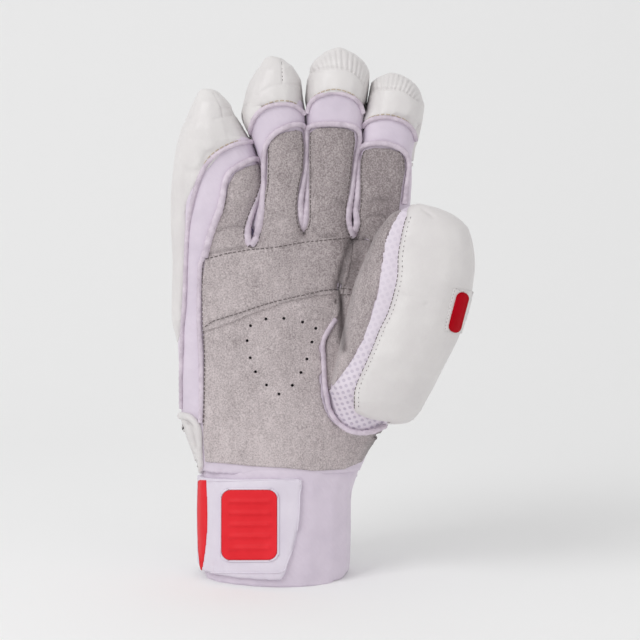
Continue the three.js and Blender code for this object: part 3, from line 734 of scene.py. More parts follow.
def painted_fold_shade(piece, folds):
    """Marks how near each point lies to some folds, for the painted shade there: line, width,
    strength.
    """
    where = pixels_of(places_of(piece))[0]
    mark = np.zeros(len(where))
    for line, wide_px, strength in folds:
        far = line_distance(where, smooth_run(line, 4))
        mark = np.maximum(mark, strength * np.exp(-((far / wide_px) ** 2)))
    layer = piece.data.attributes.new("fold_shade", "FLOAT", "POINT")
    layer.data.foreach_set("value", mark)


THUMB_FOLD = [(340.5, 287), (341, 298), (342, 315), (343.5, 332), (344, 349)]
WEB_VALLEY = [(352, 240), (349.5, 249), (345, 264), (341, 278), (340, 288)]
WEB_SHADE = [(372, 226), (366, 238), (359, 250), (353, 265), (347.5, 280), (345, 288)]
WEB_RIDGE = [(351, 298), (358, 306), (366, 316)]
LITTLE_CREASE = [(217, 232), (226, 228), (236, 226), (244, 227)]
SEAM_CREASE = [(206, 255.3), (213.3, 252.5), (223, 250.4), (233, 249.6), (244, 248)]
PALM_HEEL = [(378, 432), (372, 446), (365, 459)]
MIDDLE_CREASE = [(313, 229), (317, 233.5), (324, 236.5), (333, 237), (338, 234)]
ROOT_CREASES = [
    [(366, 203), (378, 199), (392, 200)],
    [(364, 219), (374, 215), (386, 217)],
    [(336, 200), (342, 202), (347, 207)],
]
thumb_suede = soft_copy(
    "thumb_inner_suede", ["thumb_suede"], voxel=0.9, let_out=0.6, rounds=12, meet=0.5
)
for piece, deeper in ((hand, 0.9), (thumb, 0.9), (thumb_suede, 0)):
    pressed(piece, THUMB_FOLD, 3.6, 2.2 + deeper)
    pressed(piece, WEB_VALLEY, 3.6, 1.4 + deeper)
pressed(thumb_suede, WEB_RIDGE, 2.0, -0.6)
# The thumb's fold, the web's valley and its shaded slope get painted shade.
painted_fold_shade(thumb_suede, [(THUMB_FOLD, 3.4, 0.85), (WEB_VALLEY, 3.4, 0.6), (WEB_SHADE, 7.5, 0.3)])
dress(thumb_suede, suede, ["thumb_suede"])

# Seams and edges, as pixel lines of the photograph.
UPPER_SEAM = [
    (205.6, 260), (216, 257.4), (226, 254.6), (238.6, 252.5), (252.6, 250.4), (269.5, 249),
    (285, 246.6), (300.4, 243.8), (317, 242), (331.2, 240.5), (348, 239),
]
LOWER_SEAM = [
    (204.9, 326.8), (213.3, 321.2), (226, 317), (244.2, 311.4), (258.2, 306.5), (272.3, 302.3),
    (286.3, 298.8), (300.4, 295.7), (314.4, 292.5), (324.2, 290.4), (335.4, 289),
]
WEB_SEAMS = [[(341, 288.5), (347, 288.5), (351, 290)], [(343, 295), (350, 294.5)]]
LOWER_FOLD = [
    (203.5, 331.5), (207.7, 330.4), (220.4, 326.8), (233, 321.9), (244.2, 317), (258.2, 311.4),
    (272.3, 307.2), (282, 303), (293.3, 300.2), (307.4, 297.4), (318.6, 295.3), (336.8, 293.9),
]
FINGER_SUEDE = [
    (203, 259), (206, 247), (210, 236), (215, 224), (222, 213), (226, 200), (228, 186),
    (235, 173), (246, 167), (257, 164), (260, 172), (260.5, 182), (256, 197), (249, 213),
    (244.5, 226), (244, 237), (248, 246), (253, 247.5), (257, 244), (260.5, 232), (262.5, 219),
    (265, 202), (268, 185), (268.5, 165), (268.5, 150), (271, 141), (278, 135), (286, 132),
    (296, 130.5), (301, 132), (302.5, 149), (301.5, 170), (298, 187), (296, 202), (296.5, 218),
    (299, 228), (303, 231), (308, 228), (310.5, 218), (310.4, 202), (310.9, 176), (310.5, 150),
    (311, 133), (317, 128.5), (331, 127.5), (346, 128.5), (353, 132), (354, 142), (351.5, 160),
    (349, 183), (346.5, 202), (345, 216), (346, 229), (351, 236), (357, 234), (361, 224),
    (360, 214), (361.5, 202), (361.8, 184), (362, 160), (365, 151), (374, 148), (389, 148.5),
    (399, 152), (403.5, 159), (404, 170), (401, 186), (399, 202), (397, 222), (392, 238),
    (372, 241), (358, 240), *reversed(UPPER_SEAM),
]
MIDDLE_SUEDE = [
    *beside(UPPER_SEAM, 0, -3), (354, 243), (351, 262), (346.5, 280), (343.5, 294),
    *reversed(LOWER_FOLD), (203, 310), (202.5, 285),
]
THUMB_ROOT = [
    (339, 291), (340, 310), (335, 322), (328, 331), (324, 341.5), (324.5, 357), (325.5, 381),
    (327.5, 397), (331, 410), (338.5, 422), (349.5, 430), (365, 432.5), (380, 428.5), (386, 424),
]
PALM_FOOT = [
    (376.5, 436), (368.6, 447.5), (361, 461), (344, 469), (313, 470.5), (282, 467.5), (252, 466),
    (230, 463.5), (206, 461.5),
]
LOWER_SUEDE = [
    *beside(LOWER_FOLD, 0, -4), *THUMB_ROOT, *PALM_FOOT, (204.5, 445), (203.5, 425), (204, 400),
    (204.5, 360),
]
SUEDE_SPACING = 1.6
hand_tree = search_tree([hand])
palm_tree = search_tree([hand, thumb, thumb_suede])
cuff_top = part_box("cuff")[1][2]
cuff = knit_skin("cuff_knit", ["cuff"])
drawn_out(cuff, cuff_top, SEAM_LAP, over_mm=8)
palm_bed = search_tree([hand, thumb, thumb_suede, cuff])
finger_suede = cut_sheet("finger_front_suede", hand_tree, FINGER_SUEDE, SUEDE_SPACING, 0.9, 1.4)
middle_suede = cut_sheet("middle_suede", palm_tree, MIDDLE_SUEDE, SUEDE_SPACING, 0.95, 1.3)
lower_suede = cut_sheet("lower_suede", palm_bed, LOWER_SUEDE, SUEDE_SPACING, 0.6, 1.2)
finger_creases = [LITTLE_CREASE, MIDDLE_CREASE, SEAM_CREASE, *ROOT_CREASES]
for crease in finger_creases:
    pressed(finger_suede, crease, 2.0, 0.45)
pressed(middle_suede, beside(LOWER_SEAM, 0, 0.5), 1.7, 0.5)
pressed(lower_suede, beside(LOWER_FOLD, 0, 3), 3.0, 0.3)
# The creases, the seam's edge, the thumb's fold and the palm's heel get painted shade.
painted_fold_shade(finger_suede, [(crease, 1.8, 0.35) for crease in finger_creases])
painted_fold_shade(middle_suede, [(WEB_VALLEY, 3.6, 0.7), (beside(LOWER_SEAM, 0, 1), 1.5, 0.25)])
painted_fold_shade(lower_suede, [(THUMB_FOLD, 3.8, 0.95), (PALM_HEEL, 5, 0.4)])
for piece, node in zip((finger_suede, middle_suede, lower_suede), palm_nodes):
    dress(piece, suede, [node])


# The thumb's mesh.
# A white spacer mesh with holes about 1.4 mm wide, sewn between the thumb's suede and its guard.
MESH_LIGHT = "E3DAE5"
MESH_HOLE_SHADE = "C4BACA"
HOLE_PITCH = 2.8
MESH_TURN = math.radians(24)
MESH_OUTLINE = [
    (402, 211), (399, 215), (391.8, 226.7), (385.4, 242.6), (382.2, 266.6), (379, 293.7),
    (372.6, 316), (363, 341.5), (355, 357.5), (340.7, 378.2), (327.2, 394.1), (329.6, 410),
    (337.5, 421), (348.7, 429), (364.7, 431.5), (379, 427.5), (392, 422.5), (392, 417),
    (375, 412), (362, 404), (360, 392), (367, 375), (377, 354), (386, 330), (395, 309),
    (402, 279), (404, 254), (408, 228), (410, 214),
]
open_mesh, tree, shader = new_material("open_mesh", {"Roughness": 0.9})
place = add_node(tree, "ShaderNodeTexCoord").outputs["Object"]
turned = add_node(
    tree, "ShaderNodeMapping", {"Vector": place, "Rotation": (math.pi / 2, 0, MESH_TURN)}
)
cells = add_node(
    tree,
    "ShaderNodeTexVoronoi",
    {"Vector": turned.outputs[0], "Scale": 1 / (HOLE_PITCH * MM), "Randomness": 0.0},
    voronoi_dimensions="2D",
)
rim = add_node(
    tree,
    "ShaderNodeMapRange",
    {"Value": cells.outputs[0], "From Min": 0.2, "From Max": 0.34, "To Min": 0, "To Max": 1},
)
# The mesh is pulled tight up the thumb, where its holes close.
height = add_node(tree, "ShaderNodeSeparateXYZ", {"Vector": place}).outputs["Z"]
pulled = add_node(
    tree,
    "ShaderNodeMapRange",
    {"Value": height, "From Min": 0.09, "From Max": 0.13, "To Min": 0, "To Max": 0.75},
).outputs[0]
closed = add_node(
    tree, "ShaderNodeMath", {0: rim.outputs[0], 1: pulled}, operation="MAXIMUM"
).outputs[0]
# The holes are painted darker, as painted shade in them.
mixed = {"Factor": closed, 6: colour(MESH_HOLE_SHADE), 7: colour(MESH_LIGHT)}
tone = add_node(tree, "ShaderNodeMix", mixed, data_type="RGBA")
tree.links.new(tone.outputs[2], shader.inputs["Base Color"])
bump = add_node(tree, "ShaderNodeBump", {"Height": closed, "Strength": 0.5, "Distance": 0.5 * MM})
tree.links.new(bump.outputs[0], shader.inputs["Normal"])
thumb_mesh = cut_sheet("thumb_net", palm_tree, MESH_OUTLINE, SUEDE_SPACING, 0.9, 1.4)
dress(thumb_mesh, open_mesh, ["thumb_mesh"])


# The white leather pads.
# Smooth coated leather sewn over foam: the finger caps, the long pad on the little finger's side,
# the rolls on the back, the wrist pad and the thumb's guard. Each is blown up as cloth.
LEATHER_LIGHT = "E3E0DF"
LEATHER_SHADE = "D9D5D5"
leather_looks = {"Roughness": 0.42, "Specular IOR Level": 0.45}
white_leather, tree, shader, place = mottled(
    "coated_leather", LEATHER_SHADE, LEATHER_LIGHT, 25, 3, leather_looks
)
pebbles = add_node(tree, "ShaderNodeTexVoronoi", {"Vector": place, "Scale": 1 / (0.8 * MM)})
creases = banded(tree, place, 5, 4, 0, 1)
relief = add_node(
    tree, "ShaderNodeMath", {0: creases, 1: 2.2, 2: pebbles.outputs[0]}, operation="MULTIPLY_ADD"
)
bump = add_node(
    tree, "ShaderNodeBump", {"Height": relief.outputs[0], "Strength": 0.2, "Distance": 0.25 * MM}
)
tree.links.new(bump.outputs[0], shader.inputs["Normal"])


PUFF_FRAMES = 20


def puff(pieces, pressure, most_mm):
    """Blows pads up a little as cloth, all together, and keeps each point's move under a limit."""
    before = {}
    for piece in pieces:
        before[piece] = [v.co.copy() for v in piece.data.vertices]
        cloth = piece.modifiers.new("puff", "CLOTH")
        cloth.settings.quality = 4
        cloth.settings.mass = 0.2
        cloth.settings.tension_stiffness = 12
        cloth.settings.compression_stiffness = 12
        cloth.settings.bending_stiffness = 0.4
        cloth.settings.use_pressure = True
        cloth.settings.uniform_pressure_force = pressure
        cloth.settings.effector_weights.gravity = 0
    for number in range(1, PUFF_FRAMES + 1):
        bpy.context.scene.frame_set(number)
    for piece in pieces:
        settled(piece)
        for vertex, old in zip(piece.data.vertices, before[piece]):
            move = vertex.co - old
            if move.length > most_mm * MM:
                vertex.co = old + move.normalized() * most_mm * MM
    bpy.context.scene.frame_set(1)


# Each cap's front rim in the photograph: its left end, its middle and its right end.
CAP_RIMS = {
    "ring": ((250.5, 136), (279.6, 103.6), (303, 114)),
    "middle": ((308.5, 113), (333.2, 92.3), (362, 113)),
    "index": ((364.5, 127), (385, 117.2), (414.5, 140)),
    "little": ((203, 170), (228, 147.5), (252, 141)),
}
CAP_NODES = {
    "ring": "tip_cap_ring",
    "middle": "tip_cap_middle",
    "index": "tip_cap_index",
    "little": "little_side_pad",
}
STALL_GROWN = 1.0
CAP_GROWN = 0.4
TUCK_START = 0.5
TUCK_FADE = 2
RIM_SLANT = 1.0


def rim_plane(finger):
    """The plane through a cap's front rim: a point on it and its direction towards the tip."""
    left, middle, right = (seen_place(hand_tree, x, y)[0] for x, y in CAP_RIMS[finger])
    along = (right - left).normalized()
    towards_tip = along.cross(Vector((0, 1, -RIM_SLANT))).normalized()
    if towards_tip.z < 0:
        towards_tip.negate()
    return middle, towards_tip


def leather_cap(finger):
    """A cap over a finger's tip: its solid joined with the stall above the rim, a little larger."""
    bm = bmesh.new()
    add_solid(bm, "stall_" + finger, STALL_GROWN, rim_plane(finger))
    add_solid(bm, CAP_NODES[finger], CAP_GROWN)
    cap = built(CAP_NODES[finger] + "_leather", bm)
    return skinned(cap, voxel=1.0, let_out=0.25, rounds=8)


def tucked(piece, finger, share, in_mm):
    """Draws the stall in under its cap, so that only leather shows above the rim."""
    point, towards_tip = rim_plane(finger)
    places = places_of(piece)
    above = (places - np.array(point)) @ np.array(towards_tip) / MM
    move = in_mm * MM * np.clip((above - TUCK_START) / TUCK_FADE, 0, 1) * share
    put_places(piece, places - places_of(piece, "normal") * move[:, None])


pads = {}
for finger in finger_names:
    pads[CAP_NODES[finger]] = leather_cap(finger)
for finger in finger_names:
    tucked(hand, finger, shares[finger], in_mm=1.5)
pads["thumb_pad"] = soft_copy(
    "thumb_pad_leather", ["thumb_pad"], voxel=1.8, let_out=0.2, rounds=6
)
roll_names = ["wrist_pad", "back_roll_low", "back_roll_middle", "back_roll_high"]
for finger in finger_names:
    roll_names += ["roll_%s_middle" % finger, "roll_%s_root" % finger]
for name in roll_names:
    pads[name] = soft_copy(name + "_leather", [name], voxel=2.0, let_out=0.2, rounds=6)
puff(pads.values(), pressure=4, most_mm=2.5)
for name, pad in pads.items():
    refined(pad, 1)
    dress(pad, white_leather, [name])
CAP_TOP_REACH = 30


def topped(piece, wanted_row):
    """Brings a piece's top to a row of the photograph, easing out below it."""
    places = places_of(piece)
    where, depth = pixels_of(places)
    top_row = where[:, 1].min()
    share = np.clip(1 - (where[:, 1] - top_row) / CAP_TOP_REACH, 0, 1)
    places[:, 2] -= share * (wanted_row - top_row) * depth / (slant / PIXEL_SIZE)
    put_places(piece, places)


TIP_GAP = 0.4
TIP_HALF = 14
TIP_OVER = 6
TIP_UNDER = 9
for finger, sides in CAP_SIDES.items():
    cap = pads[CAP_NODES[finger]]
    tip_x = (sides[0][0][0] + sides[1][0][0]) / 2
    tip_row = sides[0][0][1]
    for smoothing in (14, 0):
        topped(cap, tip_row - TIP_GAP)
        fitted(cap, *sides, outline_rows(cap, step=1.5, reach=1.3))
        low = (tip_x - TIP_HALF, tip_row - TIP_OVER)
        smoothed_patch(cap, low, (tip_x + TIP_HALF, tip_row + TIP_UNDER), smoothing)
smoothed_patch(pads["tip_cap_index"], (410, 116), (430, 136), rounds=14)

# The ring finger's cap runs on down the finger's left side, where its leather lies flat.
RING_CAP_EDGE = [
    (242.5, 110), (243.5, 119), (246.5, 129), (249.5, 137), (250.8, 130), (253, 122),
    (257, 115), (263, 109), (260, 103), (246, 105),
]
ring_cap_edge = cut_sheet("ring_cap_edge", hand_tree, RING_CAP_EDGE, 1.2, 0.9, 1.2)
dress(ring_cap_edge, white_leather)

# The caps' seams, gathers and soft creases, and the wrist pad's edge, kept behind the cuff.
GUARD_LEFT = [
    (411, 203.8), (407, 209), (406, 217), (403, 226.7), (398, 253.8), (396.6, 279.3),
    (388.6, 309.6), (379, 330.4), (369.4, 354.3), (359.9, 375), (354.3, 391), (353.8, 408),
    (358, 414), (372, 419.5), (388, 422),
]
GUARD_RIGHT = [
    (424, 203.8), (441, 208.3), (455.6, 215.5), (466.7, 225), (470, 231.5), (474.4, 253.8),
    (474, 279.3), (468.3, 311), (459, 338.3), (446.5, 363.8), (432.5, 391), (418.5, 417),
    (414, 420.5),
]
WRIST_RIGHT = [(350, 464), (345, 478), (341, 494), (340, 520), (340, 563)]
MIDDLE_GATHERS = (
    [(309.5, 70), (312, 64), (317, 58.5), (325, 53), (334, 50), (345, 51), (354, 55.5),
     (361, 61.5), (366.5, 70), (368.5, 79)],
    [(310.5, 73), (315, 70.5), (320, 69), (329, 67.8), (337, 67.8), (345, 69), (352, 71.5),
     (358, 76), (362.5, 82), (366, 89)],
)
INDEX_GATHERS = (
    [(371, 84), (375, 80), (381, 76.5), (388, 74.8), (396, 74.8), (404, 77), (412, 82),
     (417.5, 88), (421.5, 96), (423.5, 103)],
    [(370, 92), (374, 90), (379, 89), (386, 88.8), (394, 88.8), (402, 90), (408, 93),
     (413, 96.5), (418, 100.5), (422.5, 105)],
)


def gathered(piece, upper, lower, count, wide_px, deep_mm):
    """Presses a row of gathers between two lines, where leather is eased into a shorter seam."""
    tops = smooth_run(upper, 1)
    feet = smooth_run(lower, 1)
    for number in range(count):
        share = (number + 0.5) / count
        top = tops[round(share * (len(tops) - 1))]
        foot = feet[round(share * (len(feet) - 1))]
        pressed(piece, [top, foot], wide_px, deep_mm)


def lowered(piece, start_row, end_row, amount_px):
    """Stretches a piece's lower end down the photograph."""
    places = places_of(piece)
    where, depth = pixels_of(places)
    share = np.clip((where[:, 1] - start_row) / (end_row - start_row), 0, 1)
    places[:, 2] -= share * amount_px * depth / (slant / PIXEL_SIZE)
    put_places(piece, places)


gathered(pads["tip_cap_middle"], *MIDDLE_GATHERS, 13, 1.0, 0.6)
pressed(pads["tip_cap_middle"], MIDDLE_GATHERS[1], 1.2, 0.5)
gathered(pads["tip_cap_index"], *INDEX_GATHERS, 14, 1.0, 0.6)
pressed(pads["tip_cap_index"], INDEX_GATHERS[1], 1.2, 0.5)
pressed(pads["tip_cap_ring"], [(281.7, 58), (282, 66), (282.6, 83)], 1.1, 0.45)
pressed(pads["tip_cap_ring"], [(257, 95), (266, 89), (275, 85.5), (290, 85), (301, 87)], 1.8, 0.35)
pressed(pads["little_side_pad"], [(214, 93), (218, 100), (221.5, 108), (223, 116)], 1.1, 0.4)
pressed(pads["little_side_pad"], [(215, 119), (222, 117), (232, 115.5)], 1.6, 0.35)
guard = pads["thumb_pad"]
lowered(guard, start_row=380, end_row=414, amount_px=9)
fitted(guard, GUARD_LEFT, GUARD_RIGHT, outline_rows(guard, step=2, reach=2))
pressed(guard, [(423, 209), (428, 212), (433, 216.5)], 1.6, 0.7)
pressed(guard, [(397, 293), (404, 295), (410, 298)], 1.6, 0.4)
pressed(guard, [(425.5, 303.5), (426.5, 304.5)], 1.4, 0.6)
fitted(pads["wrist_pad"], None, WRIST_RIGHT)


# The air holes.
# Fourteen holes 1.5 mm wide, punched in the lower panel and through the fabric behind it, for air.
AIR_HOLES = [
    (250.5, 325.7), (266, 319), (284, 318.4), (302.6, 322), (315.8, 328.3), (312, 342),
    (307, 359), (301, 372.5), (292.4, 385.3), (279, 394), (266.6, 385), (255.6, 371.8),
    (250.4, 357.8), (247.2, 340.7),
]
AIR_HOLE_RADIUS = 0.75 * MM
AIR_HOLE_DEPTH = 9 * MM
bm = bmesh.new()
for x, y in AIR_HOLES:
    spot, outwards = seen_place(hand_tree, x, y)
    turned = outwards.to_track_quat("Z", "Y").to_matrix().to_4x4()
    turned.translation = spot
    bmesh.ops.create_cone(
        bm, cap_ends=True, segments=12, radius1=AIR_HOLE_RADIUS, radius2=AIR_HOLE_RADIUS,
        depth=AIR_HOLE_DEPTH, matrix=turned,
    )
punch = built("punch", bm)
for piece in (lower_suede, hand):
    holes = piece.modifiers.new("holes", "BOOLEAN")
    holes.operation = "DIFFERENCE"
    holes.object = punch
    holes.use_self = True
    holes.use_hole_tolerant = True
    settled(piece)
bpy.data.objects.remove(punch)


# Bindings, pipings and threads.
# Rolled lavender tape, 2.6 to 3.7 mm thick, goes round each finger's suede front and through the
# slits between the fingers, and a 2.3 mm piping under each cap. Fine thread shows along the seams.
BINDING_LIGHT = "DFD3DE"
BINDING_SHADE = "C0B3C0"
TAPE_RADIUS = 1.4
PIPING_RADIUS = 1.15
BINDING_PIXELS = {
    "little": [
        (204.6, 257), (206.8, 249), (210.5, 235), (215, 222), (219.8, 209.6), (222.5, 197),
        (224.3, 184), (228, 174), (235, 167.7), (244, 162.5), (253, 159), (257.3, 160),
        (259.5, 167), (260.5, 180), (257.5, 193.6), (253.8, 202.5), (249.8, 213), (246.8, 224),
        (246, 234), (247.5, 242), (250.5, 245.5),
    ],
    "ring": [
        (250.5, 246), (254.5, 243), (257.5, 237), (260, 228), (262, 215), (264, 200.7),
        (265.4, 186.4), (265.3, 172), (265, 158), (265.8, 147), (269, 140), (276, 132.5),
        (285, 127.3), (294, 124.5), (301, 125), (304, 130), (304, 140), (304.6, 154),
        (303.8, 169), (301.8, 183), (299.6, 195.4), (298.7, 208), (299.3, 219), (301, 227),
        (303.5, 229.5),
    ],
    "middle": [
        (303.5, 229.8), (306.5, 226.5), (307.7, 220), (308.2, 209.6), (308.9, 197), (309.2, 183),
        (309.3, 168), (309.1, 154), (308.8, 140), (308.6, 130), (311.5, 126), (320.7, 124.5),
        (331.4, 123.8), (342, 124.5), (351, 126), (356.6, 130), (358.2, 137), (356.8, 147),
        (354.6, 156), (353.4, 165), (352, 176), (350.6, 187), (349, 198), (347.2, 210),
        (346.6, 220), (348, 229), (350.5, 234.5),
    ],
    "index": [
        (350.5, 235), (354.5, 233), (358, 227.5), (358.6, 218.6), (357, 211), (358.6, 201),
        (359.8, 186.4), (360.2, 172), (360, 158), (361, 150), (365.4, 145.8), (374.3, 143.3),
        (385, 143.2), (395.7, 146.6), (403.5, 151.5), (406.8, 160), (406.8, 174), (404.8, 190),
        (403, 204),
    ],
}
PIPING_PIXELS = {
    "little": [
        (252.5, 142), (247.5, 142), (240, 143), (231.4, 145.7), (221, 151), (212, 158),
        (205, 167), (200, 178), (196, 190), (193, 202), (190.5, 215), (188.6, 230),
        (187.6, 246), (186.4, 280), (185, 310), (183, 342), (182.4, 370), (182.4, 390),
        (182.6, 408),
    ],
    "ring": [
        (250.5, 136), (251.5, 127.5), (254.6, 118.6), (260, 111.4), (268.9, 106), (279.6, 103.6),
        (290.4, 104.5), (299, 109), (303, 114),
    ],
    "middle": [
        (308.5, 113), (309.5, 107.5), (313.6, 100), (322.5, 94.7), (333.2, 92.3), (343.9, 93.8),
        (353.8, 98.2), (359.5, 105), (362, 113),
    ],
    "index": [
        (364.5, 127), (367.5, 122.3), (374.3, 119), (385, 117.2), (395.7, 119), (406, 123.5),
        (412.5, 131), (414.5, 140),
    ],
}
PALM_EDGE_ROLL = [
    (204.6, 257), (200.8, 264), (199.6, 300), (199.8, 330), (201.3, 360), (201.6, 400),
    (201, 422),
]
THUMB_PIPING = [
    (336, 319), (329.6, 328.8), (323, 341.5), (323.6, 357), (324.6, 381), (326.4, 395.7),
    (329.6, 410), (337.5, 422.5), (348.7, 430.5), (364.7, 433.2), (379, 429.2), (386, 425.5),
]
THUMB_MIDDLE = (365, 375)
rolled_tape, tree, shader, place = mottled(
    "rolled_tape", BINDING_SHADE, BINDING_LIGHT, 5, 3, {"Roughness": 0.85}
)
fibres = banded(tree, place, 0.5, 2, 0, 1)
bump = add_node(tree, "ShaderNodeBump", {"Height": fibres, "Strength": 0.3, "Distance": 0.2 * MM})
tree.links.new(bump.outputs[0], shader.inputs["Normal"])


def laid_at_edge(tree, pixels, centre, in_px, lift_mm):
    """A line along a piece's own edge: found a little inside it, then moved out again."""
    start, right, up, forward = seen_rays()
    places = []
    for spot in smooth_run(pixels):
        inwards = (Vector(centre) - spot).normalized() * in_px
        hit = seen_place(tree, *(spot + inwards))
        if hit:
            size = (hit[0] - start).dot(forward) / (slant / PIXEL_SIZE)
            outwards = (up * inwards.y - right * inwards.x) * size
            places.append(hit[0] + outwards - forward * lift_mm * MM)
    return places


def rolled(name, route, radius_mm, nodes=(), fuller=None):
    """A roll of tape along a route."""
    dress(round_cord(name, [route], radius_mm, 0.06, 3.2, fuller=fuller), rolled_tape, nodes)


def fuller_by_row(extra, first_row, rows):
    """Makes a roll thicker over some rows of the photograph, counted down, or up below zero."""

    def fuller(place):
        row = pixels_of(np.array([place]))[0][0, 1]
        return 1 + extra * min(max((row - first_row) / rows, 0), 1)

    return fuller


# The tape is folded double towards the fingers' roots.
fuller_at_root = fuller_by_row(extra=0.32, first_row=180, rows=30)
for name in finger_names:
    route = eased(laid_on(hand_tree, BINDING_PIXELS[name], 0.9), 6)
    rolled("binding_%s_tape" % name, route, TAPE_RADIUS, ["binding_" + name], fuller_at_root)
    route = eased(laid_on(hand_tree, PIPING_PIXELS[name], 0.7), 6)
    rolled("piping_%s_tape" % name, route, PIPING_RADIUS, ["piping_" + name])
EDGE_ROLL_RADIUS = 1.3
rolled("palm_edge_roll", eased(laid_on(hand_tree, PALM_EDGE_ROLL, 0.5), 6), EDGE_ROLL_RADIUS)
thumb_tree = search_tree([thumb, thumb_suede, thumb_mesh])
thumb_route = laid_at_edge(thumb_tree, THUMB_PIPING, THUMB_MIDDLE, in_px=5, lift_mm=0.4)
rolled("thumb_edge_roll", eased(thumb_route, 12), EDGE_ROLL_RADIUS)


THREAD_SHINE = 1.35


def thread_material(name, hex_value):
    """Bonded polyester thread: smooth and a little shiny."""
    thread, tree, shader = new_material(name, {"Roughness": 0.6})
    place = add_node(tree, "ShaderNodeTexCoord").outputs["Object"]
    twist = banded(tree, place, 0.6, 1, 0, 1)
    dark = colour(hex_value)
    light = tuple(min(1, part * THREAD_SHINE) for part in dark[:3]) + (1.0,)
    tone = add_node(tree, "ShaderNodeMix", {"Factor": twist, 6: dark, 7: light}, data_type="RGBA")
    tree.links.new(tone.outputs[2], shader.inputs["Base Color"])
    return thread


def stitches(tree, pixels, lift_mm, stitch_mm, gap_mm):
    """Short runs of places along a line of the photograph, one for each stitch."""
    places = laid_on(tree, pixels, lift_mm, 0.6)
    runs = []
    gone = 0.0
    for i, place in enumerate(places):
        if i:
            gone += (place - places[i - 1]).length / MM
        number, rest = divmod(gone, stitch_mm + gap_mm)
        if rest < stitch_mm:
            if not runs or runs[-1][0] != number:
                runs.append((number, []))
            runs[-1][1].append(place)
    return [run for number, run in runs if len(run) > 1]


def sewn(name, material, slot, tree, lines, lift_mm, radius_mm, stitch_mm=1.8, gap_mm=0.5):
    """The thread of several seams, as one piece."""
    runs = []
    for line in lines:
        runs += stitches(tree, line, lift_mm, stitch_mm, gap_mm)
    dress(round_cord(name, runs, radius_mm, sides=1), material)


dark_thread = thread_material("grey_brown_thread", "5E5656")
pale_thread = thread_material("beige_thread", "B3A593")
# The violet colour is no thread: it is the painted shade of the slits' gaps.
violet_shadow = thread_material("violet_slit_shade", "5A5372")
suede_bed = search_tree([finger_suede, middle_suede, lower_suede, thumb_suede])
finger_edges = FINGER_SUEDE[: -len(UPPER_SEAM) - 6]
on_suede = (dark_thread, "palm_suede", suede_bed)
sewn("finger_front_thread", *on_suede, [finger_edges], 0.05, 0.26, 2.0, 0.4)
sewn("upper_seam_thread", *on_suede, [beside(UPPER_SEAM, 0, -1)], 0.05, 0.26)
sewn("lower_seam_thread", *on_suede, [LOWER_SEAM, *WEB_SEAMS], 0.05, 0.24)
palm_side = [(203.5, 262), (203, 290), (203.3, 326), (205, 360), (204.6, 400), (204, 425)]
sewn("palm_side_thread", dark_thread, "palm_suede", palm_bed, [palm_side], 0.9, 0.22)
# A dark cord deep along each slit between the fingers, as painted shade of the gap.
slit_lines = [[point for point in line if point[1] > 190] for line in TOUCH_LINES.values()]
slit_routes = [eased(laid_on(hand_tree, line, 1.9), 4) for line in slit_lines]
dress(round_cord("slit_shade_cord", slit_routes, 0.32), violet_shadow)
guard_tree = search_tree([guard, thumb_mesh])
guard_seam = [point for point in GUARD_LEFT if 210 < point[1] < 409]
on_guard = (dark_thread, "white_leather", guard_tree)
sewn("guard_seam_thread", *on_guard, [beside(guard_seam, 0.8)], 0.1, 0.26)
sewn("guard_topstitch_thread", *on_guard, [beside(guard_seam, 4.8)], 0.08, 0.16, 0.9, 1.5)
cap_tree = search_tree([pads[CAP_NODES[finger]] for finger in finger_names])
cap_rims = [beside(PIPING_PIXELS[finger], 0, -3) for finger in ("ring", "middle", "index")]
cap_rims.append(beside(PIPING_PIXELS["little"][1:7], -1.5, -2.5))
sewn("cap_rim_thread", pale_thread, "white_leather", cap_tree, cap_rims, 0.1, 0.3, 2.2, 0.5)
sewn(
    "ring_cap_thread", dark_thread, "white_leather", cap_tree,
    [[(281.7, 62), (282.6, 83)]], 0.05, 0.14, 0.9, 1.1,
)


# The cuff, the strap and its trim.
# The cuff is a band of the same stretch fabric. The strap goes over it from the back and closes
# with hook and loop under its end, which carries a moulded patch and a stripe of soft red rubber.
CUFF_LEFT = [(201.5, 472), (201, 500), (201, 523), (201.7, 548), (203.5, 568), (206, 576)]
CUFF_RIGHT = [
    (361, 464), (355, 482), (351.6, 496), (351, 523), (350, 563), (347, 573), (341, 579),
]
STRAP_EDGE = [
    (208, 481), (240, 480.5), (270, 480), (299, 480.3), (299.5, 495), (299, 512), (297.5, 527),
    (293.5, 545), (286.5, 564), (281.5, 572), (250, 572.8), (208, 572.5),
]
STRIPE = [
    (198.7, 480.2), (206.6, 480.2), (207.3, 495), (207.8, 515), (207.6, 530), (206, 548),
    (204, 562), (202, 571.5), (200.3, 565), (198.9, 550), (198.2, 530), (198, 510), (198.3, 492),
]
PATCH_LOW = (222, 490)
PATCH_HIGH = (277, 560)
PATCH_CORNER = 9
PATCH_RIBS = 5
RIB_INSET = 8
STRAP_LIGHT = "E3DCE7"
STRAP_SHADE = "D8D0DD"
cuff_edges = outline_rows(cuff)
fitted(cuff, CUFF_LEFT, CUFF_RIGHT, cuff_edges)
FRONT_FADE = 10 * MM


def bulged(piece, centre_px, wide_px, forward_mm):
    """Swells the front of a piece towards the viewer, round a place in the photograph."""
    places = places_of(piece)
    where = pixels_of(places)[0]
    off = (where - np.array(centre_px)) / np.array(wide_px)
    front = np.clip((CENTRE_Y - places[:, 1]) / FRONT_FADE, 0, 1)
    places[:, 1] -= forward_mm * MM * np.exp(-(off**2).sum(axis=1)) * front
    put_places(piece, places)


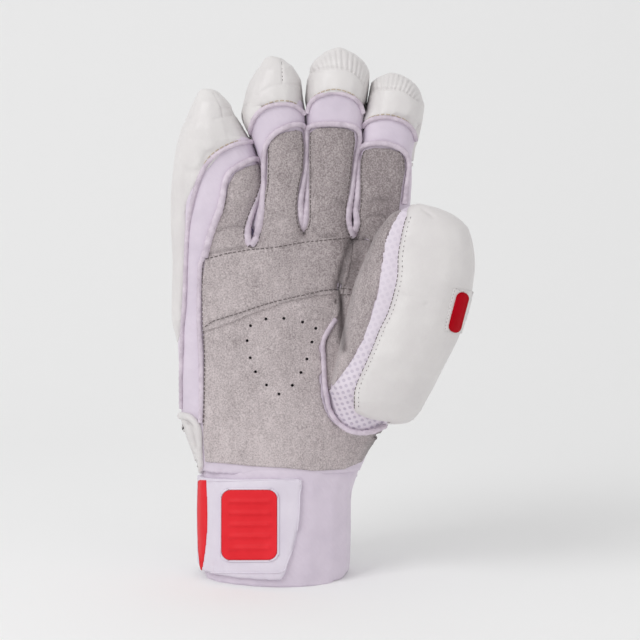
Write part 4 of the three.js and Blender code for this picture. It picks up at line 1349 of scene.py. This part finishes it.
CUFF_SWELL = ((285, 590), (60, 60), 9.5)
bulged(cuff, *CUFF_SWELL)
refined(cuff, 1)
dress(cuff, stretch_knit, ["cuff"])
strap_cover, tree, shader, place = mottled(
    "strap_cover", STRAP_SHADE, STRAP_LIGHT, 20, 3, {"Roughness": 0.55}
)
grain = banded(tree, place, 0.6, 2, 0, 1)
bump = add_node(tree, "ShaderNodeBump", {"Height": grain, "Strength": 0.15, "Distance": 0.15 * MM})
tree.links.new(bump.outputs[0], shader.inputs["Normal"])
STRAP_TOP = 471
STRAP_ROWS = (478, 571)
STRAP_LOWERED = 5
STRAP_OVER_CUFF = 2.0
STRAP_END = 302
END_MOVED = 2.0
END_FADE = 14
strap = soft_copy("strap_leather", ["strap"], voxel=0.8, let_out=0.2, rounds=5)
topped(strap, STRAP_TOP)
lowered(strap, *STRAP_ROWS, STRAP_LOWERED)
strap_edges = cuff_edges + np.array([0, 0, STRAP_OVER_CUFF])
fitted(strap, CUFF_LEFT, beside(CUFF_RIGHT, -1.2), strap_edges)
bulged(strap, *CUFF_SWELL)
# The strap's end in front is drawn a little to the right, where it closes.
places = places_of(strap)
where, depth = pixels_of(places)
moved = END_MOVED * np.exp(-(((where[:, 0] - STRAP_END) / END_FADE) ** 2))
places[:, 0] += moved * (places[:, 1] < CENTRE_Y) * depth / (slant / PIXEL_SIZE)
put_places(strap, places)
dress(strap, strap_cover, ["strap"])
strap_tree = search_tree([strap, cuff])
weld_route = eased(laid_on(strap_tree, STRAP_EDGE, 0.1), 3)
dress(round_cord("strap_weld", [weld_route], 0.4), strap_cover)


def arcs_round(centres, radius, first, steps):
    """A closed outline of pixels: one arc round each centre, which together turn full circle."""
    sweep = 2 * math.pi / len(centres)
    outline = []
    for number, (x, y) in enumerate(centres):
        for step in range(steps + 1):
            turn = first + sweep * (number + step / steps)
            outline.append((x + radius * math.cos(turn), y + radius * math.sin(turn)))
    return outline


def rounded_box(low, high, corner):
    """A rectangle's outline with round corners, in pixels."""
    left, top = (v + corner for v in low)
    right, bottom = (v - corner for v in high)
    return arcs_round([(right, bottom), (left, bottom), (left, top), (right, top)], corner, 0, 6)


def capsule(start, end, half_width):
    """The outline of a bar with round ends, in pixels."""
    heading = math.atan2(end[1] - start[1], end[0] - start[0])
    return arcs_round([end, start], half_width, heading - math.pi / 2, 8)


red_looks = {"Roughness": 0.5, "Specular IOR Level": 0.2}
moulded_red = mottled("moulded_red", "E0222C", "E92A34", 12, 2, red_looks)[0]
PATCH_OUTLINE = rounded_box(PATCH_LOW, PATCH_HIGH, PATCH_CORNER)
patch = cut_sheet("strap_patch_rubber", strap_tree, PATCH_OUTLINE, 1.2, 0.5, 1.0)
for number in range(PATCH_RIBS):
    row = PATCH_LOW[1] + (PATCH_HIGH[1] - PATCH_LOW[1]) * (number + 1) / (PATCH_RIBS + 1)
    rib = [(PATCH_LOW[0] + RIB_INSET, row), (PATCH_HIGH[0] - RIB_INSET, row)]
    pressed(patch, rib, wide_px=1.9, deep_mm=-0.9)
dress(patch, moulded_red, ["strap_patch"])
BORDER_GAP = 1.2
border_low = [v - BORDER_GAP for v in PATCH_LOW]
border_high = [v + BORDER_GAP for v in PATCH_HIGH]
border_line = rounded_box(border_low, border_high, PATCH_CORNER + BORDER_GAP)
border_route = laid_on(strap_tree, border_line, 0.3, closed=True)
border = round_cord("patch_border", [border_route + border_route[:2]], 0.5)
dress(border, strap_cover)
stripe = cut_sheet("strap_stripe_rubber", strap_tree, STRIPE, 1.1, 0.4, 0.9)
dress(stripe, moulded_red, ["strap_stripe"])

# The side tab: a thick rolled loop at the little finger's side, over the cuff's top.
side_tab = soft_copy("side_tab_leather", ["side_tab"], voxel=0.5, let_out=0.1, rounds=4)
TAB_FLAP = [
    (178, 417), (184, 418), (191, 422), (197, 429), (200, 441), (201.3, 458), (202.5, 474),
    (200.5, 474), (196.5, 458), (190.5, 442), (185.5, 428),
]
TAB_OPENING = [(189, 425), (193, 431), (195.5, 440), (197, 448)]
tab_flap = cut_sheet("side_tab_flap", search_tree([hand, cuff]), TAB_FLAP, 1.0, 0.8, 1.2)
for piece in (tab_flap, side_tab, hand):
    pressed(piece, TAB_OPENING, 2.2, 2.6)
dress(tab_flap, white_leather)
dress(side_tab, white_leather, ["side_tab"])
TAB_ROLL = [
    (177.5, 418), (181, 415.5), (187, 415.3), (194, 419.5), (198.8, 426.5), (200.8, 440),
    (201.4, 455), (202.4, 471),
]
tab_tree = search_tree([hand, side_tab, cuff])
tab_route = eased(laid_on(tab_tree, TAB_ROLL, 0.8), 5)
# The tab is folded thickest where it leaves the glove's side.
fuller_at_top = fuller_by_row(extra=0.3, first_row=450, rows=-20)
tab_roll = round_cord("side_tab_roll", [tab_route], 1.45, fuller=fuller_at_top)
dress(tab_roll, white_leather)

# The thumb's label, a plain tag of leather, and the bar of dark red rubber on it.
LABEL_OUTLINE = [
    (453.2, 288), (463, 289.3), (473, 291.3), (469, 312), (462, 333.5), (453, 332.3),
    (443.6, 330.4), (448.5, 308),
]
BAR_OUTLINE = capsule((461.2, 297.8), (453.7, 326), 5.9)
guard_face = search_tree([guard])
label = cut_sheet("thumb_label_leather", guard_face, LABEL_OUTLINE, 1.3, 0.5, 0.9)
dress(label, white_leather, ["thumb_label"])
label_tree = search_tree([guard, label])
label_hem = [
    (471, 293), (461, 291), (454.8, 290), (450, 308), (445.6, 329), (453, 330.8), (460.5, 331.8),
]
sewn("label_thread", dark_thread, "white_leather", label_tree, [label_hem], 0.02, 0.1, 0.8, 0.9)
dark_red_looks = {"Roughness": 0.5, "Specular IOR Level": 0.05}
dark_red = mottled("dark_red", "AA0012", "B4001A", 8, 2, dark_red_looks)[0]
bar = cut_sheet("thumb_bar_rubber", guard_face, BAR_OUTLINE, 0.9, 1.1, 1.0)
dress(bar, dark_red, ["thumb_pill"])

# The three largest skins are thinned, so that the whole glove stays under a million triangles.
SKIN_SHARE = 0.58
for skin in (hand, cuff, pads["little_side_pad"]):
    thinner = skin.modifiers.new("thinner", "DECIMATE")
    thinner.ratio = SKIN_SHARE
    settled(skin)
